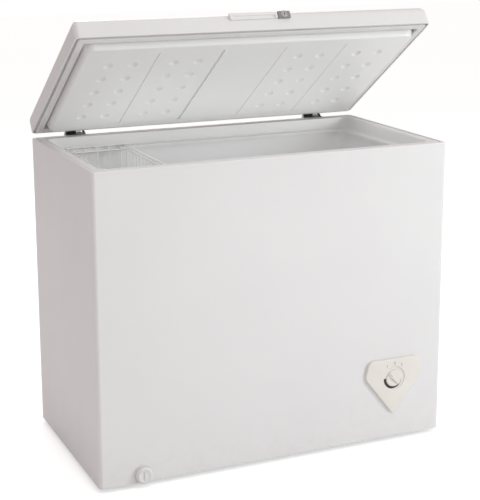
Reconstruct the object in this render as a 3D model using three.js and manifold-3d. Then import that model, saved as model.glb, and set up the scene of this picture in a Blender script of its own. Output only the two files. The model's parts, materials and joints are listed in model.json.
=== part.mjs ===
// A chest freezer with its lid standing open: steel cabinet, foamed walls, liner with a compressor step,
// wire basket, hinged lid with dimpled inner panel, lock, thermostat knob and drain.
// Millimetres, +Z up, the front faces -Y. Cabinet pieces are drawn about the centre of the footprint.
// Lid pieces are drawn closed, and the lid's group turns them about the hinge axis.
import * as THREE from "three";
import { mergeVertices } from "three/addons/utils/BufferGeometryUtils.js";
import Module from "manifold-3d";

const wasm = await Module();
wasm.setup();

// ---- Driving dimensions ----
const WIDTH = 940; // cabinet, side to side
const DEPTH = 510; // cabinet, front to back
const SHELL_HEIGHT = 770; // cabinet without its feet
const CORNER_RADIUS = 10; // upright outer corners
const SHEET = 1; // steel sheet
const RETURN_FLANGE = 18; // sides folded in behind the rear panel
const WALL = 58; // outer face to the liner's inner face
const FLOOR_WALL = 62; // underside to the liner's floor
const LINER_SHEET = 1;
const LINER_CORNER = 30;
const GAP = 0.3; // between pieces that touch

const FOOT_HEIGHT = 12;
const FOOT_RADIUS = 18;
const FOOT_INSET = 70; // outer face to the foot's axis

const RIM_FLANGE = 8; // folded top edge of the steel
const RIM_LAND = 30; // outer face to the inner edge of the flat rim
const LAND_DROP = 0.6; // the land lies this far below the flange
const COLLAR_RUN = 10; // how far the collar slopes inwards
const COLLAR_DROP = 30; // rim down to the basket ledge
const COLLAR_SHEET = 2;
const COLLAR_LIP = 10; // lip that hides the liner's top edge

const BAY_WIDTH = 229; // compressor bay, from the right-hand face inwards
const BAY_HEIGHT = 262; // compressor bay, from the base upwards
const STEP_WALL = 50; // foam between the bay and the cavity

const EVAPORATOR_SIDE = 6;
const EVAPORATOR_TURNS = 5;
const EVAPORATOR_BELOW_LEDGE = 37;
const CONDENSER_SIDE = 5.5;
const CONDENSER_ROWS = 9;

const LID_THICKNESS = 55;
const LID_GAP = 3; // lid's lower edge above the rim when shut
const LID_ANGLE = 34; // how far the lid stands open, degrees
const LID_CORNER = 14;
const LID_SKIN = 1.2;
const LID_HEM = 4; // folded lower edge of the lid's skin
const PIVOT_BEHIND = 11; // hinge axis behind the back of the cabinet
const GASKET_RECESS = 14; // lid's lower edge up to the gasket channel
const GASKET_OUTER = 10; // outer face to the gasket
const GASKET_WIDTH = 17;
const PLUG_INSET = 28; // outer face to the root of the inner panel's raised part
const PLUG_SLOPE = 8;
const PLUG_HEIGHT = 20; // inner panel above its channel
const PANEL_THICKNESS = 5;
const DIMPLE_RADIUS = 13;
const DIMPLE_DEPTH = 3;
const DIMPLE_COLUMN_PITCH = 62;
const DIMPLE_ROWS = 5;
const BANDS = 5; // upright bands across the inner panel, the middle one sunk
const BAND_MARGIN = 16.5; // plain strip at the panel's two sides
const ROW_MARGIN = 12; // and at its front and back
const GROOVE_WIDTH = 4;
const GROOVE_DEPTH = 2;

const HINGE_FROM_SIDE = 120; // side face to the middle of the hinge
const HINGE_WIDTH = 50;
const HINGE_CHEEK = 3;
const HINGE_REACH = 21; // cheeks behind the back of the cabinet
const HINGE_HEIGHT = 150;
const HINGE_LIP = 9; // hook over the rim
const HINGE_PLATE = 2.5;
const PIN_RADIUS = 4;
const BARREL_RADIUS = 7;

const GRIP_CENTRE_X = -19;
const GRIP_WIDTH = 127;
const GRIP_DROP = 26; // lid's top down to the grip's lower edge
const GRIP_HEIGHT = 17;
const GRIP_PROUD = 6;
const LOCK_X = 62;
const LOCK_DROP = 17; // lid's top down to the lock's axis
const LOCK_RADIUS = 7.5;
const LOCK_HOUSING = 34;
const CAM_BELOW_RIM = 12; // reach of the cam below the rim when locked
const CAM_TOE = 12;
const CAM_WIDTH = 8;
const CAM_PLATE = 2;
const CAM_INSET = 6; // outer face of the lid to the cam

const DIAL_FROM_RIGHT = 144; // right-hand face to the dial's axis
const DIAL_Z = 163; // above the cabinet's lower edge
const BEZEL_THICKNESS = 9;
const BEZEL_HALF_WIDTH = 83;
const BEZEL_TOP_HALF = 64;
const BEZEL_TOP = 50;
const BEZEL_BOTTOM = 98;
const DISH_RADIUS = 31;
const DISH_DEPTH = 6;
const KNOB_RADIUS = 22;
const KNOB_PROUD = 5; // above the bezel's face
const KNOB_ANGLE = 45; // how far the grip leans from upright, degrees
const SHAFT_RADIUS = 3;

const DRAIN_FROM_LEFT = 110; // left-hand face to the drain's axis
const DRAIN_Z = 21; // above the cabinet's lower edge
const DRAIN_FROM_FRONT = 105; // front face to the hole in the liner's floor
const DRAIN_RADIUS = 10;
const DRAIN_BORE = 8;
const DRAIN_SPOUT = 8;
const DRAIN_CAP_RADIUS = 21;
const DRAIN_CAP_DEPTH = 14;

const BASKET_LEFT = 14; // liner to the basket's left side
const BASKET_WIDTH = 165;
const BASKET_END_GAP = 12; // liner to the basket's ends
const BASKET_HEIGHT = 175;
const BASKET_WIRE = 4;
const BASKET_RAIL = 5;

// ---- Levels and faces that follow from them ----
const HALF_W = WIDTH / 2;
const HALF_D = DEPTH / 2;
const BASE_Z = FOOT_HEIGHT;
const RIM_Z = BASE_Z + SHELL_HEIGHT;
const PAN_TOP = BASE_Z + 1.5;
const FLOOR_Z = BASE_Z + FLOOR_WALL;
const LEDGE_Z = RIM_Z - COLLAR_DROP;
const LINER_TOP = LEDGE_Z - COLLAR_SHEET - GAP;
const BAY_LEFT = HALF_W - BAY_WIDTH;
const BAY_TOP = BASE_Z + BAY_HEIGHT;
const STEP_X = BAY_LEFT - STEP_WALL - LINER_SHEET;
const STEP_Z = BAY_TOP + STEP_WALL + LINER_SHEET;
const FOAM_OUTER = SHEET + GAP;
const EVAPORATOR_START = STEP_Z + 20;
const EVAPORATOR_PITCH = (LEDGE_Z - EVAPORATOR_BELOW_LEDGE - EVAPORATOR_START) / EVAPORATOR_TURNS;
const FOAM_INNER = WALL - LINER_SHEET - GAP;
const FOAM_REAR = SHEET + CONDENSER_SIDE + 1.5;
const LID_Z = RIM_Z + LID_GAP;
const LOCK_Z = LID_THICKNESS - LOCK_DROP; // above the lid's lower edge
const CAM_LENGTH = LOCK_Z + LID_GAP + CAM_BELOW_RIM;
const CHANNEL_Z = LID_Z + GASKET_RECESS;
const PANEL_Z = CHANNEL_Z - PLUG_HEIGHT;
const PLUG_EDGE = PLUG_INSET + PLUG_SLOPE;
const BAND_WIDTH = (WIDTH - 2 * PLUG_EDGE - 2 * BAND_MARGIN) / BANDS;
const DIMPLE_ROW_PITCH = (DEPTH - 2 * PLUG_EDGE - 2 * ROW_MARGIN) / (DIMPLE_ROWS + 1);
const PIVOT = new THREE.Vector3(0, HALF_D + PIVOT_BEHIND, RIM_Z);
const DIAL = new THREE.Vector3(HALF_W - DIAL_FROM_RIGHT, -HALF_D, BASE_Z + DIAL_Z);
const DRAIN = new THREE.Vector3(-HALF_W + DRAIN_FROM_LEFT, -HALF_D, BASE_Z + DRAIN_Z);
const DRAIN_FLOOR_Y = -HALF_D + DRAIN_FROM_FRONT;

// ---- Finishes ----
const finish = (color, roughness, metalness = 0) =>
  new THREE.MeshStandardMaterial({ color, roughness, metalness });
const WHITE_STEEL = finish(0xe9e8e8, 0.35);
const WHITE_PLASTIC = finish(0xe6e5e5, 0.45);
const CREAM_PLASTIC = finish(0xdcd4c8, 0.5);
const GREY_PLASTIC = finish(0x8d8f92, 0.45);
const BLACK_STEEL = finish(0x1d1c1e, 0.5, 0.3);
const BLACK_PLASTIC = finish(0x18191b, 0.6);
const RUBBER = finish(0x222222, 0.85);
const GASKET_RUBBER = finish(0xd0cfcf, 0.7);
const FOAM = finish(0xe8d9a8, 0.95);
const ZINC = finish(0x9ea2a6, 0.35, 0.9);
const COPPER = finish(0xb87349, 0.35, 1);
const COATED_WIRE = finish(0xeeeeec, 0.35);

// ---- Shape helpers ----
const FAR = 4000; // longer than the object, for cuts that run right through

function solidOf(geometry) {
  const bare = (geometry.index ? geometry.toNonIndexed() : geometry.clone()).clone();
  bare.deleteAttribute("normal");
  bare.deleteAttribute("uv");
  const merged = mergeVertices(bare, 1e-4);
  return new wasm.Manifold(
    new wasm.Mesh({
      numProp: 3,
      vertProperties: merged.attributes.position.array,
      triVerts: new Uint32Array(merged.index.array),
    }),
  );
}

function geometryOf(solid) {
  const { vertProperties, triVerts } = solid.getMesh();
  const geometry = new THREE.BufferGeometry();
  geometry.setAttribute("position", new THREE.BufferAttribute(vertProperties, 3));
  geometry.setIndex(new THREE.BufferAttribute(triVerts, 1));
  const flat = geometry.toNonIndexed();
  flat.computeVertexNormals();
  return flat;
}

const join = (first, ...rest) =>
  geometryOf(rest.reduce((whole, g) => whole.add(solidOf(g)), solidOf(first)));
const cut = (first, ...rest) =>
  geometryOf(rest.reduce((whole, g) => whole.subtract(solidOf(g)), solidOf(first)));
const common = (first, second) => geometryOf(solidOf(first).intersect(solidOf(second)));

function box(x0, x1, y0, y1, z0, z1) {
  const geometry = new THREE.BoxGeometry(x1 - x0, y1 - y0, z1 - z0);
  return geometry.translate((x0 + x1) / 2, (y0 + y1) / 2, (z0 + z1) / 2);
}

// A cylinder from one point to another.
function rod(from, to, radius, sides = 12) {
  const along = new THREE.Vector3().subVectors(to, from);
  const geometry = new THREE.CylinderGeometry(radius, radius, along.length(), sides);
  const turn = new THREE.Quaternion().setFromUnitVectors(
    new THREE.Vector3(0, 1, 0),
    along.clone().normalize(),
  );
  geometry.applyQuaternion(turn);
  const middle = new THREE.Vector3().addVectors(from, to).multiplyScalar(0.5);
  return geometry.translate(middle.x, middle.y, middle.z);
}

const point = (x, y, z) => new THREE.Vector3(x, y, z);

// A rectangle about the origin with round corners.
function roundedRectangle(halfX, halfY, radius) {
  const r = Math.max(radius, 0.5);
  const shape = new THREE.Shape();
  shape.moveTo(halfX - r, -halfY);
  shape.absarc(halfX - r, -halfY + r, r, -Math.PI / 2, 0);
  shape.absarc(halfX - r, halfY - r, r, 0, Math.PI / 2);
  shape.absarc(-halfX + r, halfY - r, r, Math.PI / 2, Math.PI);
  shape.absarc(-halfX + r, -halfY + r, r, Math.PI, Math.PI * 1.5);
  return shape;
}

const CORNER_STEPS = 2;

function slab(shape, z0, z1, curveSegments = CORNER_STEPS) {
  const options = { depth: z1 - z0, bevelEnabled: false, curveSegments };
  return new THREE.ExtrudeGeometry(shape, options).translate(0, 0, z0);
}

// The cabinet's outline drawn in by an inset. The corners grow from the shell's to the liner's.
function outline(inset) {
  const radius = CORNER_RADIUS + ((LINER_CORNER - CORNER_RADIUS) * inset) / WALL;
  return roundedRectangle(HALF_W - inset, HALF_D - inset, radius);
}

// The same for the lid, whose corners shrink with the inset.
const lidOutline = (inset) =>
  roundedRectangle(HALF_W - inset, HALF_D - inset, Math.max(LID_CORNER - inset, 4));

function loopPoints(shape, z, steps = CORNER_STEPS) {
  const flat = shape.getPoints(steps);
  if (flat[0].distanceTo(flat[flat.length - 1]) < 1e-6) flat.pop();
  return flat.map((p) => point(p.x, p.y, z));
}

// A closed surface through loops of equal length: capped at both ends, or joined last to first.
function loft(loops, ring = false) {
  const count = loops[0].length;
  const positions = [];
  const push = (...corners) => corners.forEach((c) => positions.push(c.x, c.y, c.z));
  const last = ring ? loops.length : loops.length - 1;
  for (let i = 0; i < last; i++) {
    const lower = loops[i];
    const upper = loops[(i + 1) % loops.length];
    for (let j = 0; j < count; j++) {
      const k = (j + 1) % count;
      push(lower[j], lower[k], upper[k]);
      push(lower[j], upper[k], upper[j]);
    }
  }
  if (!ring) {
    const bottom = loops[0];
    const top = loops[loops.length - 1];
    for (let j = 1; j < count - 1; j++) {
      push(bottom[0], bottom[j + 1], bottom[j]);
      push(top[0], top[j], top[j + 1]);
    }
  }
  const geometry = new THREE.BufferGeometry();
  geometry.setAttribute("position", new THREE.Float32BufferAttribute(positions, 3));
  geometry.computeVertexNormals();
  return geometry;
}

const stack = (outlineAt, levels) =>
  loft(levels.map(([inset, z]) => loopPoints(outlineAt(inset), z)));

// A path whose steps fall on the given points, for tubes with few sides.
class PointPath extends THREE.Curve {
  constructor(points) {
    super();
    this.points = points;
  }
  getPoint(t, target = new THREE.Vector3()) {
    const place = t * (this.points.length - 1);
    const i = Math.min(Math.floor(place), this.points.length - 2);
    return target.lerpVectors(this.points[i], this.points[i + 1], place - i);
  }
  getPointAt(u, target) {
    return this.getPoint(u, target);
  }
  getTangentAt(u, target) {
    return this.getTangent(u, target);
  }
}

function regular(radius, sides) {
  const shape = new THREE.Shape();
  for (let i = 0; i < sides; i++) {
    const angle = ((i + 0.5) * 2 * Math.PI) / sides;
    const x = radius * Math.cos(angle);
    const y = radius * Math.sin(angle);
    if (i === 0) shape.moveTo(x, y);
    else shape.lineTo(x, y);
  }
  shape.closePath();
  return shape;
}

const followPath = (shape, points) =>
  new THREE.ExtrudeGeometry(shape, {
    steps: points.length - 1,
    extrudePath: new PointPath(points),
    bevelEnabled: false,
  });

// Square tube: side is across the flats.
const squareTube = (points, side) => followPath(regular(side / Math.SQRT2, 4), points);

// The corners of a bent pipe replaced by arcs of a few points.
function bend(corners, radius, steps = 4) {
  const points = [corners[0]];
  for (let i = 1; i < corners.length - 1; i++) {
    const back = new THREE.Vector3().subVectors(corners[i - 1], corners[i]).normalize();
    const on = new THREE.Vector3().subVectors(corners[i + 1], corners[i]).normalize();
    const from = corners[i].clone().addScaledVector(back, radius);
    const to = corners[i].clone().addScaledVector(on, radius);
    const arc = new THREE.QuadraticBezierCurve3(from, corners[i], to);
    points.push(...arc.getPoints(steps));
  }
  points.push(corners[corners.length - 1]);
  return points;
}

function turned(profile, x, y, sides = 20) {
  const points = profile.map(([r, z]) => new THREE.Vector2(r, z));
  const geometry = new THREE.LatheGeometry(points, sides);
  return geometry.rotateX(Math.PI / 2).translate(x, y, 0);
}

const radians = THREE.MathUtils.degToRad;

// ---- The scene graph ----
const assembly = new THREE.Group();
const lid = new THREE.Group();
lid.position.copy(PIVOT);
lid.rotation.x = -radians(LID_ANGLE);
assembly.add(lid);

function place(name, geometry, material, group = assembly) {
  const mesh = new THREE.Mesh(geometry, material);
  mesh.name = name;
  group.add(mesh);
}

const placeOnLid = (name, geometry, material) =>
  place(name, geometry.translate(-PIVOT.x, -PIVOT.y, -PIVOT.z), material, lid);

// ---- Shared cuts ----
const camBack = -HALF_D + CAM_INSET + CAM_PLATE;
const camFront = -HALF_D + CAM_INSET;
const camSlot = (z0, z1) =>
  box(LOCK_X - CAM_WIDTH / 2 - 1, LOCK_X + 42, camFront - 0.7, camBack + 0.7, z0, z1);
const drainRoute = [
  point(DRAIN.x, DRAIN_FLOOR_Y, FLOOR_Z - LINER_SHEET - GAP),
  point(DRAIN.x, DRAIN_FLOOR_Y, DRAIN.z),
  point(DRAIN.x, -HALF_D - DRAIN_SPOUT, DRAIN.z),
];
const drainPath = bend(drainRoute, 22);
const drainChannel = () => followPath(regular(DRAIN_RADIUS + 1, 12), drainPath);
const dialPocket = (side) =>
  box(DIAL.x - side, DIAL.x + side, -HALF_D - 1, -HALF_D + WALL, DIAL.z - side, DIAL.z + side);
const VENT = { y0: -70, y1: 130, z0: BASE_Z + 50, z1: BAY_TOP - 42 };
const sideVent = (margin) =>
  box(
    HALF_W - WALL,
    HALF_W + 1,
    VENT.y0 - margin,
    VENT.y1 + margin,
    VENT.z0 - margin,
    VENT.z1 + margin,
  );
const REAR_VENT = { x0: BAY_LEFT + 12, x1: HALF_W - 46, z0: BASE_Z + 20, z1: BAY_TOP - 20 };

// ---- Cabinet shell ----
function outerWrap() {
  const walls = cut(
    slab(outline(0), BASE_Z, RIM_Z),
    slab(outline(SHEET), BASE_Z - 1, RIM_Z - SHEET),
    slab(outline(RIM_FLANGE), RIM_Z - 2 * SHEET, RIM_Z + 1),
  );
  const backEdge = HALF_D - RIM_FLANGE - 1;
  const opening = HALF_W - RETURN_FLANGE;
  return cut(
    walls,
    box(-opening, opening, backEdge, HALF_D + 1, BASE_Z - 1, RIM_Z + 1),
    box(-opening, opening, backEdge - 9, HALF_D + 1, RIM_Z - SHEET, RIM_Z + 1),
    dialPocket(30),
    rod(point(DRAIN.x, -HALF_D - 2, DRAIN.z), point(DRAIN.x, -HALF_D + 2, DRAIN.z), 12),
    sideVent(0.5),
    camSlot(RIM_Z - 2, RIM_Z + 1),
  );
}

function rearPanel() {
  const half = HALF_W - RETURN_FLANGE - GAP;
  return cut(
    join(
      box(-half, half, HALF_D - SHEET, HALF_D, BASE_Z, RIM_Z),
      box(-half, half, HALF_D - RIM_FLANGE, HALF_D - SHEET / 2, RIM_Z - SHEET, RIM_Z),
    ),
    box(REAR_VENT.x0, REAR_VENT.x1, HALF_D - 2, HALF_D + 1, REAR_VENT.z0, REAR_VENT.z1),
  );
}

function basePan() {
  const shape = roundedRectangle(HALF_W - FOAM_OUTER, HALF_D - FOAM_OUTER, CORNER_RADIUS);
  return slab(shape, BASE_Z, PAN_TOP);
}

// ---- Rim collar: flat land, slope, basket ledge and the lip over the liner ----
function rimTrim() {
  const slopeFoot = RIM_LAND + COLLAR_RUN;
  const lipOuter = WALL + GAP;
  const lipInner = lipOuter + COLLAR_SHEET;
  const landZ = RIM_Z - LAND_DROP;
  const underLand = landZ - COLLAR_SHEET;
  const underLedge = LEDGE_Z - COLLAR_SHEET;
  const tuckZ = RIM_Z - SHEET - GAP;
  const profile = [
    [RIM_FLANGE + GAP, landZ],
    [RIM_LAND, landZ],
    [RIM_LAND + 2, landZ - 1.5],
    [slopeFoot - 1, LEDGE_Z + 3],
    [slopeFoot + 1, LEDGE_Z],
    [lipInner, LEDGE_Z],
    [lipInner, LEDGE_Z - COLLAR_LIP],
    [lipOuter, LEDGE_Z - COLLAR_LIP],
    [lipOuter, underLedge],
    [slopeFoot - 1, underLedge],
    [RIM_LAND - 1, underLand],
    [2, underLand],
    [2, tuckZ],
    [RIM_FLANGE + GAP, tuckZ],
  ];
  const loops = profile.map(([inset, z]) => loopPoints(outline(inset), z));
  return cut(loft(loops, true), camSlot(RIM_Z - 6, RIM_Z + 1));
}

function lockKeeper() {
  const top = RIM_Z - LAND_DROP - COLLAR_SHEET - GAP;
  return cut(
    box(LOCK_X - 24, LOCK_X + 50, camFront - 3.5, camBack + 4, top - 2.5, top),
    camSlot(top - 4, top + 1),
  );
}

// ---- Liner ----
function innerLiner() {
  const outside = cut(
    slab(outline(WALL - LINER_SHEET), FLOOR_Z - LINER_SHEET, LINER_TOP),
    box(STEP_X + LINER_SHEET, FAR, -FAR, FAR, 0, STEP_Z - LINER_SHEET),
  );
  const inside = cut(
    slab(outline(WALL), FLOOR_Z, RIM_Z),
    box(STEP_X, FAR, -FAR, FAR, 0, STEP_Z),
  );
  const drainHole = rod(
    point(DRAIN.x, DRAIN_FLOOR_Y, FLOOR_Z - 3),
    point(DRAIN.x, DRAIN_FLOOR_Y, FLOOR_Z + 3),
    DRAIN_RADIUS,
  );
  return cut(outside, inside, drainHole);
}

// ---- Foam, in the blocks that the walls divide it into ----
const foamBottom = PAN_TOP + GAP;
const foamShoulder = LEDGE_Z - COLLAR_SHEET - 2;
const TUBE_RECESS = EVAPORATOR_SIDE * Math.SQRT2 + 1; // room for the evaporator behind the liner

function foamShell() {
  const lower = slab(outline(FOAM_OUTER), foamBottom, foamShoulder);
  const upper = slab(outline(FOAM_OUTER), foamShoulder - 1, RIM_Z - 4);
  const mouth = slab(outline(RIM_LAND - 5), foamShoulder, RIM_Z);
  const camPocket = box(
    LOCK_X - 28,
    LOCK_X + 54,
    -HALF_D,
    camBack + 5,
    RIM_Z - 18,
    RIM_Z,
  );
  const bandX = HALF_W - FOAM_INNER + TUBE_RECESS;
  const bandY = HALF_D - FOAM_INNER + TUBE_RECESS;
  const bandLow = EVAPORATOR_START - EVAPORATOR_SIDE;
  const bandHigh = EVAPORATOR_START + EVAPORATOR_TURNS * EVAPORATOR_PITCH + EVAPORATOR_SIDE;
  const tubeBand = box(-bandX, bandX, -bandY, bandY, bandLow, bandHigh);
  return cut(join(lower, upper), mouth, camPocket, tubeBand, drainChannel());
}

const innerX = HALF_W - FOAM_INNER;
const innerY = HALF_D - FOAM_INNER;
const foam = foamShell();
const sideFoam = (x0, x1) =>
  common(foam, box(x0, x1, -innerY + GAP, innerY - GAP, 0, FAR));

const frontFoam = () =>
  cut(common(foam, box(-FAR, FAR, -FAR, -innerY, 0, FAR)), dialPocket(29));
const rearFoam = () =>
  cut(
    common(foam, box(-FAR, FAR, innerY, HALF_D - FOAM_REAR, 0, FAR)),
    box(REAR_VENT.x0, REAR_VENT.x1, 0, FAR, REAR_VENT.z0, REAR_VENT.z1),
  );
const rightFoam = () => cut(sideFoam(innerX, FAR), sideVent(0.5));

const blockY = innerY - GAP;
function floorFoam() {
  const top = FLOOR_Z - LINER_SHEET - GAP;
  const block = box(-innerX + GAP, BAY_LEFT, -blockY, blockY, foamBottom, top);
  return cut(block, drainChannel());
}

function stepFoam() {
  const bottom = FLOOR_Z - LINER_SHEET;
  const left = STEP_X + LINER_SHEET + GAP;
  const top = STEP_Z - LINER_SHEET - GAP;
  return join(
    box(left, BAY_LEFT, -blockY, blockY, bottom, top),
    box(left, innerX - GAP, -blockY, blockY, BAY_TOP, top),
  );
}

// ---- Refrigeration tubes ----
// A square tube wound round the liner, rising one pitch a turn.
function evaporator() {
  const clear = EVAPORATOR_SIDE / Math.SQRT2 + 0.5;
  const inset = WALL - LINER_SHEET - clear;
  const radius = LINER_CORNER + clear;
  const loop = loopPoints(roundedRectangle(HALF_W - inset, HALF_D - inset, radius), 0, 3);
  const lengths = loop.map((p, i) => p.distanceTo(loop[(i + 1) % loop.length]));
  const round = lengths.reduce((sum, each) => sum + each, 0);
  const points = [];
  let travelled = 0;
  for (let i = 0; i < EVAPORATOR_TURNS * loop.length; i++) {
    const at = loop[i % loop.length];
    points.push(point(at.x, at.y, EVAPORATOR_START + (EVAPORATOR_PITCH * travelled) / round));
    travelled += lengths[i % loop.length];
  }
  return squareTube(points, EVAPORATOR_SIDE);
}

// A serpentine behind the rear panel.
function condenser() {
  const reach = HALF_W - 60;
  const y = HALF_D - SHEET - 0.5 - CONDENSER_SIDE / 2;
  const bottom = BAY_TOP + 40;
  const pitch = (RIM_Z - 84 - bottom) / (CONDENSER_ROWS - 1);
  const corners = [];
  for (let row = 0; row < CONDENSER_ROWS; row++) {
    const z = bottom + row * pitch;
    const side = row % 2 === 0 ? 1 : -1;
    corners.push(point(side * reach, y, z), point(-side * reach, y, z));
  }
  return squareTube(bend(corners, 18, 3), CONDENSER_SIDE);
}

// ---- Compressor bay ----
const PIPE_ROOM = 110; // bay height taken by the mounts below the compressor and the pipes above it
const COMPRESSOR = {
  x: (BAY_LEFT + innerX) / 2,
  y: 60,
  radius: 64,
  height: BAY_HEIGHT - PIPE_ROOM,
};
const MOUNT_HEIGHT = 12;
const PLATE_Z = PAN_TOP + GAP + MOUNT_HEIGHT + GAP;
const PLATE = { halfX: (innerX - BAY_LEFT) / 2 - 2, halfY: 80, thickness: 2.5 };
const SHELL_Z = PLATE_Z + PLATE.thickness + GAP;
const COMPRESSOR_TOP = SHELL_Z + COMPRESSOR.height;

function compressor() {
  const { radius, height, x, y } = COMPRESSOR;
  const share = [
    [0, 0],
    [0.72, 0],
    [0.94, 0.13],
    [1, 0.3],
    [1, 0.62],
    [0.93, 0.8],
    [0.7, 0.93],
    [0.38, 0.99],
    [0, 1],
  ];
  const profile = share.map(([r, z]) => [r * radius, SHELL_Z + z * height]);
  return turned(profile, x, y, 24);
}

function compressorPlate() {
  const { x, y } = COMPRESSOR;
  const { halfX, halfY, thickness } = PLATE;
  return box(x - halfX, x + halfX, y - halfY, y + halfY, PLATE_Z, PLATE_Z + thickness);
}

function relayCover() {
  const front = COMPRESSOR.y - COMPRESSOR.radius - 30;
  const back = COMPRESSOR.y - COMPRESSOR.radius - 0.5;
  return box(COMPRESSOR.x - 24, COMPRESSOR.x + 24, front, back, SHELL_Z + 45, SHELL_Z + 100);
}

function suctionPipe() {
  const x = COMPRESSOR.x - 22;
  const { y } = COMPRESSOR;
  const high = BAY_TOP - 30;
  const route = [point(x, y, COMPRESSOR_TOP + 0.5), point(x, y, high), point(BAY_LEFT + 0.5, y, high)];
  return followPath(regular(4, 8), bend(route, 18));
}

function dischargePipe() {
  const x = COMPRESSOR.x + 22;
  const { y } = COMPRESSOR;
  const high = BAY_TOP - 45;
  const route = [point(x, y, COMPRESSOR_TOP + 0.5), point(x, y, high), point(x, innerY - 0.5, high)];
  return followPath(regular(3, 8), bend(route, 18));
}

function filterDrier() {
  const bottom = SHELL_Z + 50;
  const profile = [
    [0, bottom - 18],
    [2.5, bottom - 18],
    [2.5, bottom - 6],
    [9, bottom],
    [9, bottom + 90],
    [2.5, bottom + 98],
    [2.5, bottom + 112],
    [0, bottom + 112],
  ];
  return turned(profile, BAY_LEFT + 18, innerY - 33, 12);
}

// ---- Vents: plates with rows of slots, drawn flat and then stood up ----
function louvre(width, height, thickness, rows, slotHeight, margin) {
  const shape = new THREE.Shape();
  shape.moveTo(0, 0).lineTo(width, 0).lineTo(width, height).lineTo(0, height).closePath();
  const pitch = (height - 2 * margin - slotHeight) / (rows - 1);
  for (let row = 0; row < rows; row++) {
    const low = margin + row * pitch;
    const hole = new THREE.Path();
    hole.moveTo(margin, low).lineTo(margin, low + slotHeight);
    hole.lineTo(width - margin, low + slotHeight).lineTo(width - margin, low).closePath();
    shape.holes.push(hole);
  }
  return slab(shape, 0, thickness);
}

function sideGrille() {
  const plate = louvre(VENT.y1 - VENT.y0, VENT.z1 - VENT.z0, 4, 9, 7, 15);
  plate.rotateX(Math.PI / 2).rotateZ(Math.PI / 2);
  return plate.translate(HALF_W - 4, VENT.y0, VENT.z0);
}

const COVER_LAP = 9;
const GLAND = { x: REAR_VENT.x1 - 22, z: REAR_VENT.z0 + 20, radius: 9 };

function rearCover() {
  const width = REAR_VENT.x1 - REAR_VENT.x0 + 2 * COVER_LAP;
  const height = REAR_VENT.z1 - REAR_VENT.z0 + 2 * COVER_LAP;
  const plate = louvre(width, height, 1.5, 7, 8, 42);
  plate.rotateX(Math.PI / 2);
  plate.translate(REAR_VENT.x0 - COVER_LAP, HALF_D + GAP + 1.5, REAR_VENT.z0 - COVER_LAP);
  const hole = rod(
    point(GLAND.x, HALF_D - 5, GLAND.z),
    point(GLAND.x, HALF_D + 5, GLAND.z),
    GLAND.radius + 0.5,
  );
  return cut(plate, hole);
}

function cableGland() {
  const face = HALF_D + 2 * GAP + 1.5;
  const at = (y) => point(GLAND.x, y, GLAND.z);
  return cut(
    join(rod(at(face - 8), at(face + 1), GLAND.radius), rod(at(face), at(face + 7), 12.5)),
    rod(at(face - 12), at(face + 12), 3.5),
  );
}

// ---- Thermostat, bezel and knob ----
function thermostat() {
  const front = -HALF_D + FOAM_OUTER + 2;
  const body = box(DIAL.x - 22, DIAL.x + 22, front, front + 36, DIAL.z - 19, DIAL.z + 19);
  const tip = -HALF_D - GAP - BEZEL_THICKNESS - KNOB_PROUD + 3;
  return join(body, rod(point(DIAL.x, front + 4, DIAL.z), point(DIAL.x, tip, DIAL.z), SHAFT_RADIUS));
}

// A shield shape with a dish for the knob.
function controlBezel() {
  const corners = [
    [BEZEL_HALF_WIDTH, 6],
    [BEZEL_TOP_HALF, BEZEL_TOP],
    [-BEZEL_TOP_HALF, BEZEL_TOP],
    [-BEZEL_HALF_WIDTH, 6],
    [0, -BEZEL_BOTTOM],
  ];
  const rounding = 12;
  const shape = new THREE.Shape();
  corners.forEach(([x, z], i) => {
    const at = new THREE.Vector2(x, z);
    const before = new THREE.Vector2(...corners[(i + corners.length - 1) % corners.length]);
    const after = new THREE.Vector2(...corners[(i + 1) % corners.length]);
    const into = before.sub(at).setLength(rounding).add(at);
    const out = after.sub(at).setLength(rounding).add(at);
    if (i === 0) shape.moveTo(into.x, into.y);
    else shape.lineTo(into.x, into.y);
    shape.quadraticCurveTo(x, z, out.x, out.y);
  });
  shape.closePath();
  const plate = slab(shape, 0, BEZEL_THICKNESS);
  plate.rotateX(Math.PI / 2).translate(DIAL.x, -HALF_D - GAP, DIAL.z);
  const face = -HALF_D - GAP - BEZEL_THICKNESS;
  const at = (y) => point(DIAL.x, y, DIAL.z);
  return cut(
    plate,
    rod(at(face - 1), at(face + DISH_DEPTH), DISH_RADIUS, 28),
    rod(at(face - 1), at(-HALF_D + 1), SHAFT_RADIUS + 1.5),
  );
}

function controlKnob() {
  const face = -HALF_D - GAP - BEZEL_THICKNESS;
  const back = face + DISH_DEPTH - GAP;
  const front = face - KNOB_PROUD;
  const at = (y) => point(DIAL.x, y, DIAL.z);
  const disc = rod(at(back), at(front + 4), KNOB_RADIUS, 28);
  const grip = box(-4, 4, front, front + 6, -KNOB_RADIUS + 2, KNOB_RADIUS - 2);
  grip.rotateY(-radians(KNOB_ANGLE)).translate(DIAL.x, 0, DIAL.z);
  return cut(join(disc, grip), rod(at(back + 1), at(front + 2.5), SHAFT_RADIUS + 0.4));
}

// ---- Drain ----
function drainTube() {
  const ring = regular(DRAIN_RADIUS, 12);
  const bore = new THREE.Path(regular(DRAIN_BORE, 12).getPoints().reverse());
  ring.holes.push(bore);
  return followPath(ring, drainPath);
}

function drainCap() {
  const at = (y) => point(DRAIN.x, y, DRAIN.z);
  const back = -HALF_D - GAP;
  return cut(
    join(
      rod(at(back), at(back - DRAIN_CAP_DEPTH + 3), DRAIN_CAP_RADIUS, 24),
      rod(at(back - 2), at(back - DRAIN_CAP_DEPTH), DRAIN_CAP_RADIUS - 4, 24),
    ),
    rod(at(back + 1), at(-HALF_D - DRAIN_SPOUT - 1), DRAIN_RADIUS + 1),
  );
}

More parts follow.
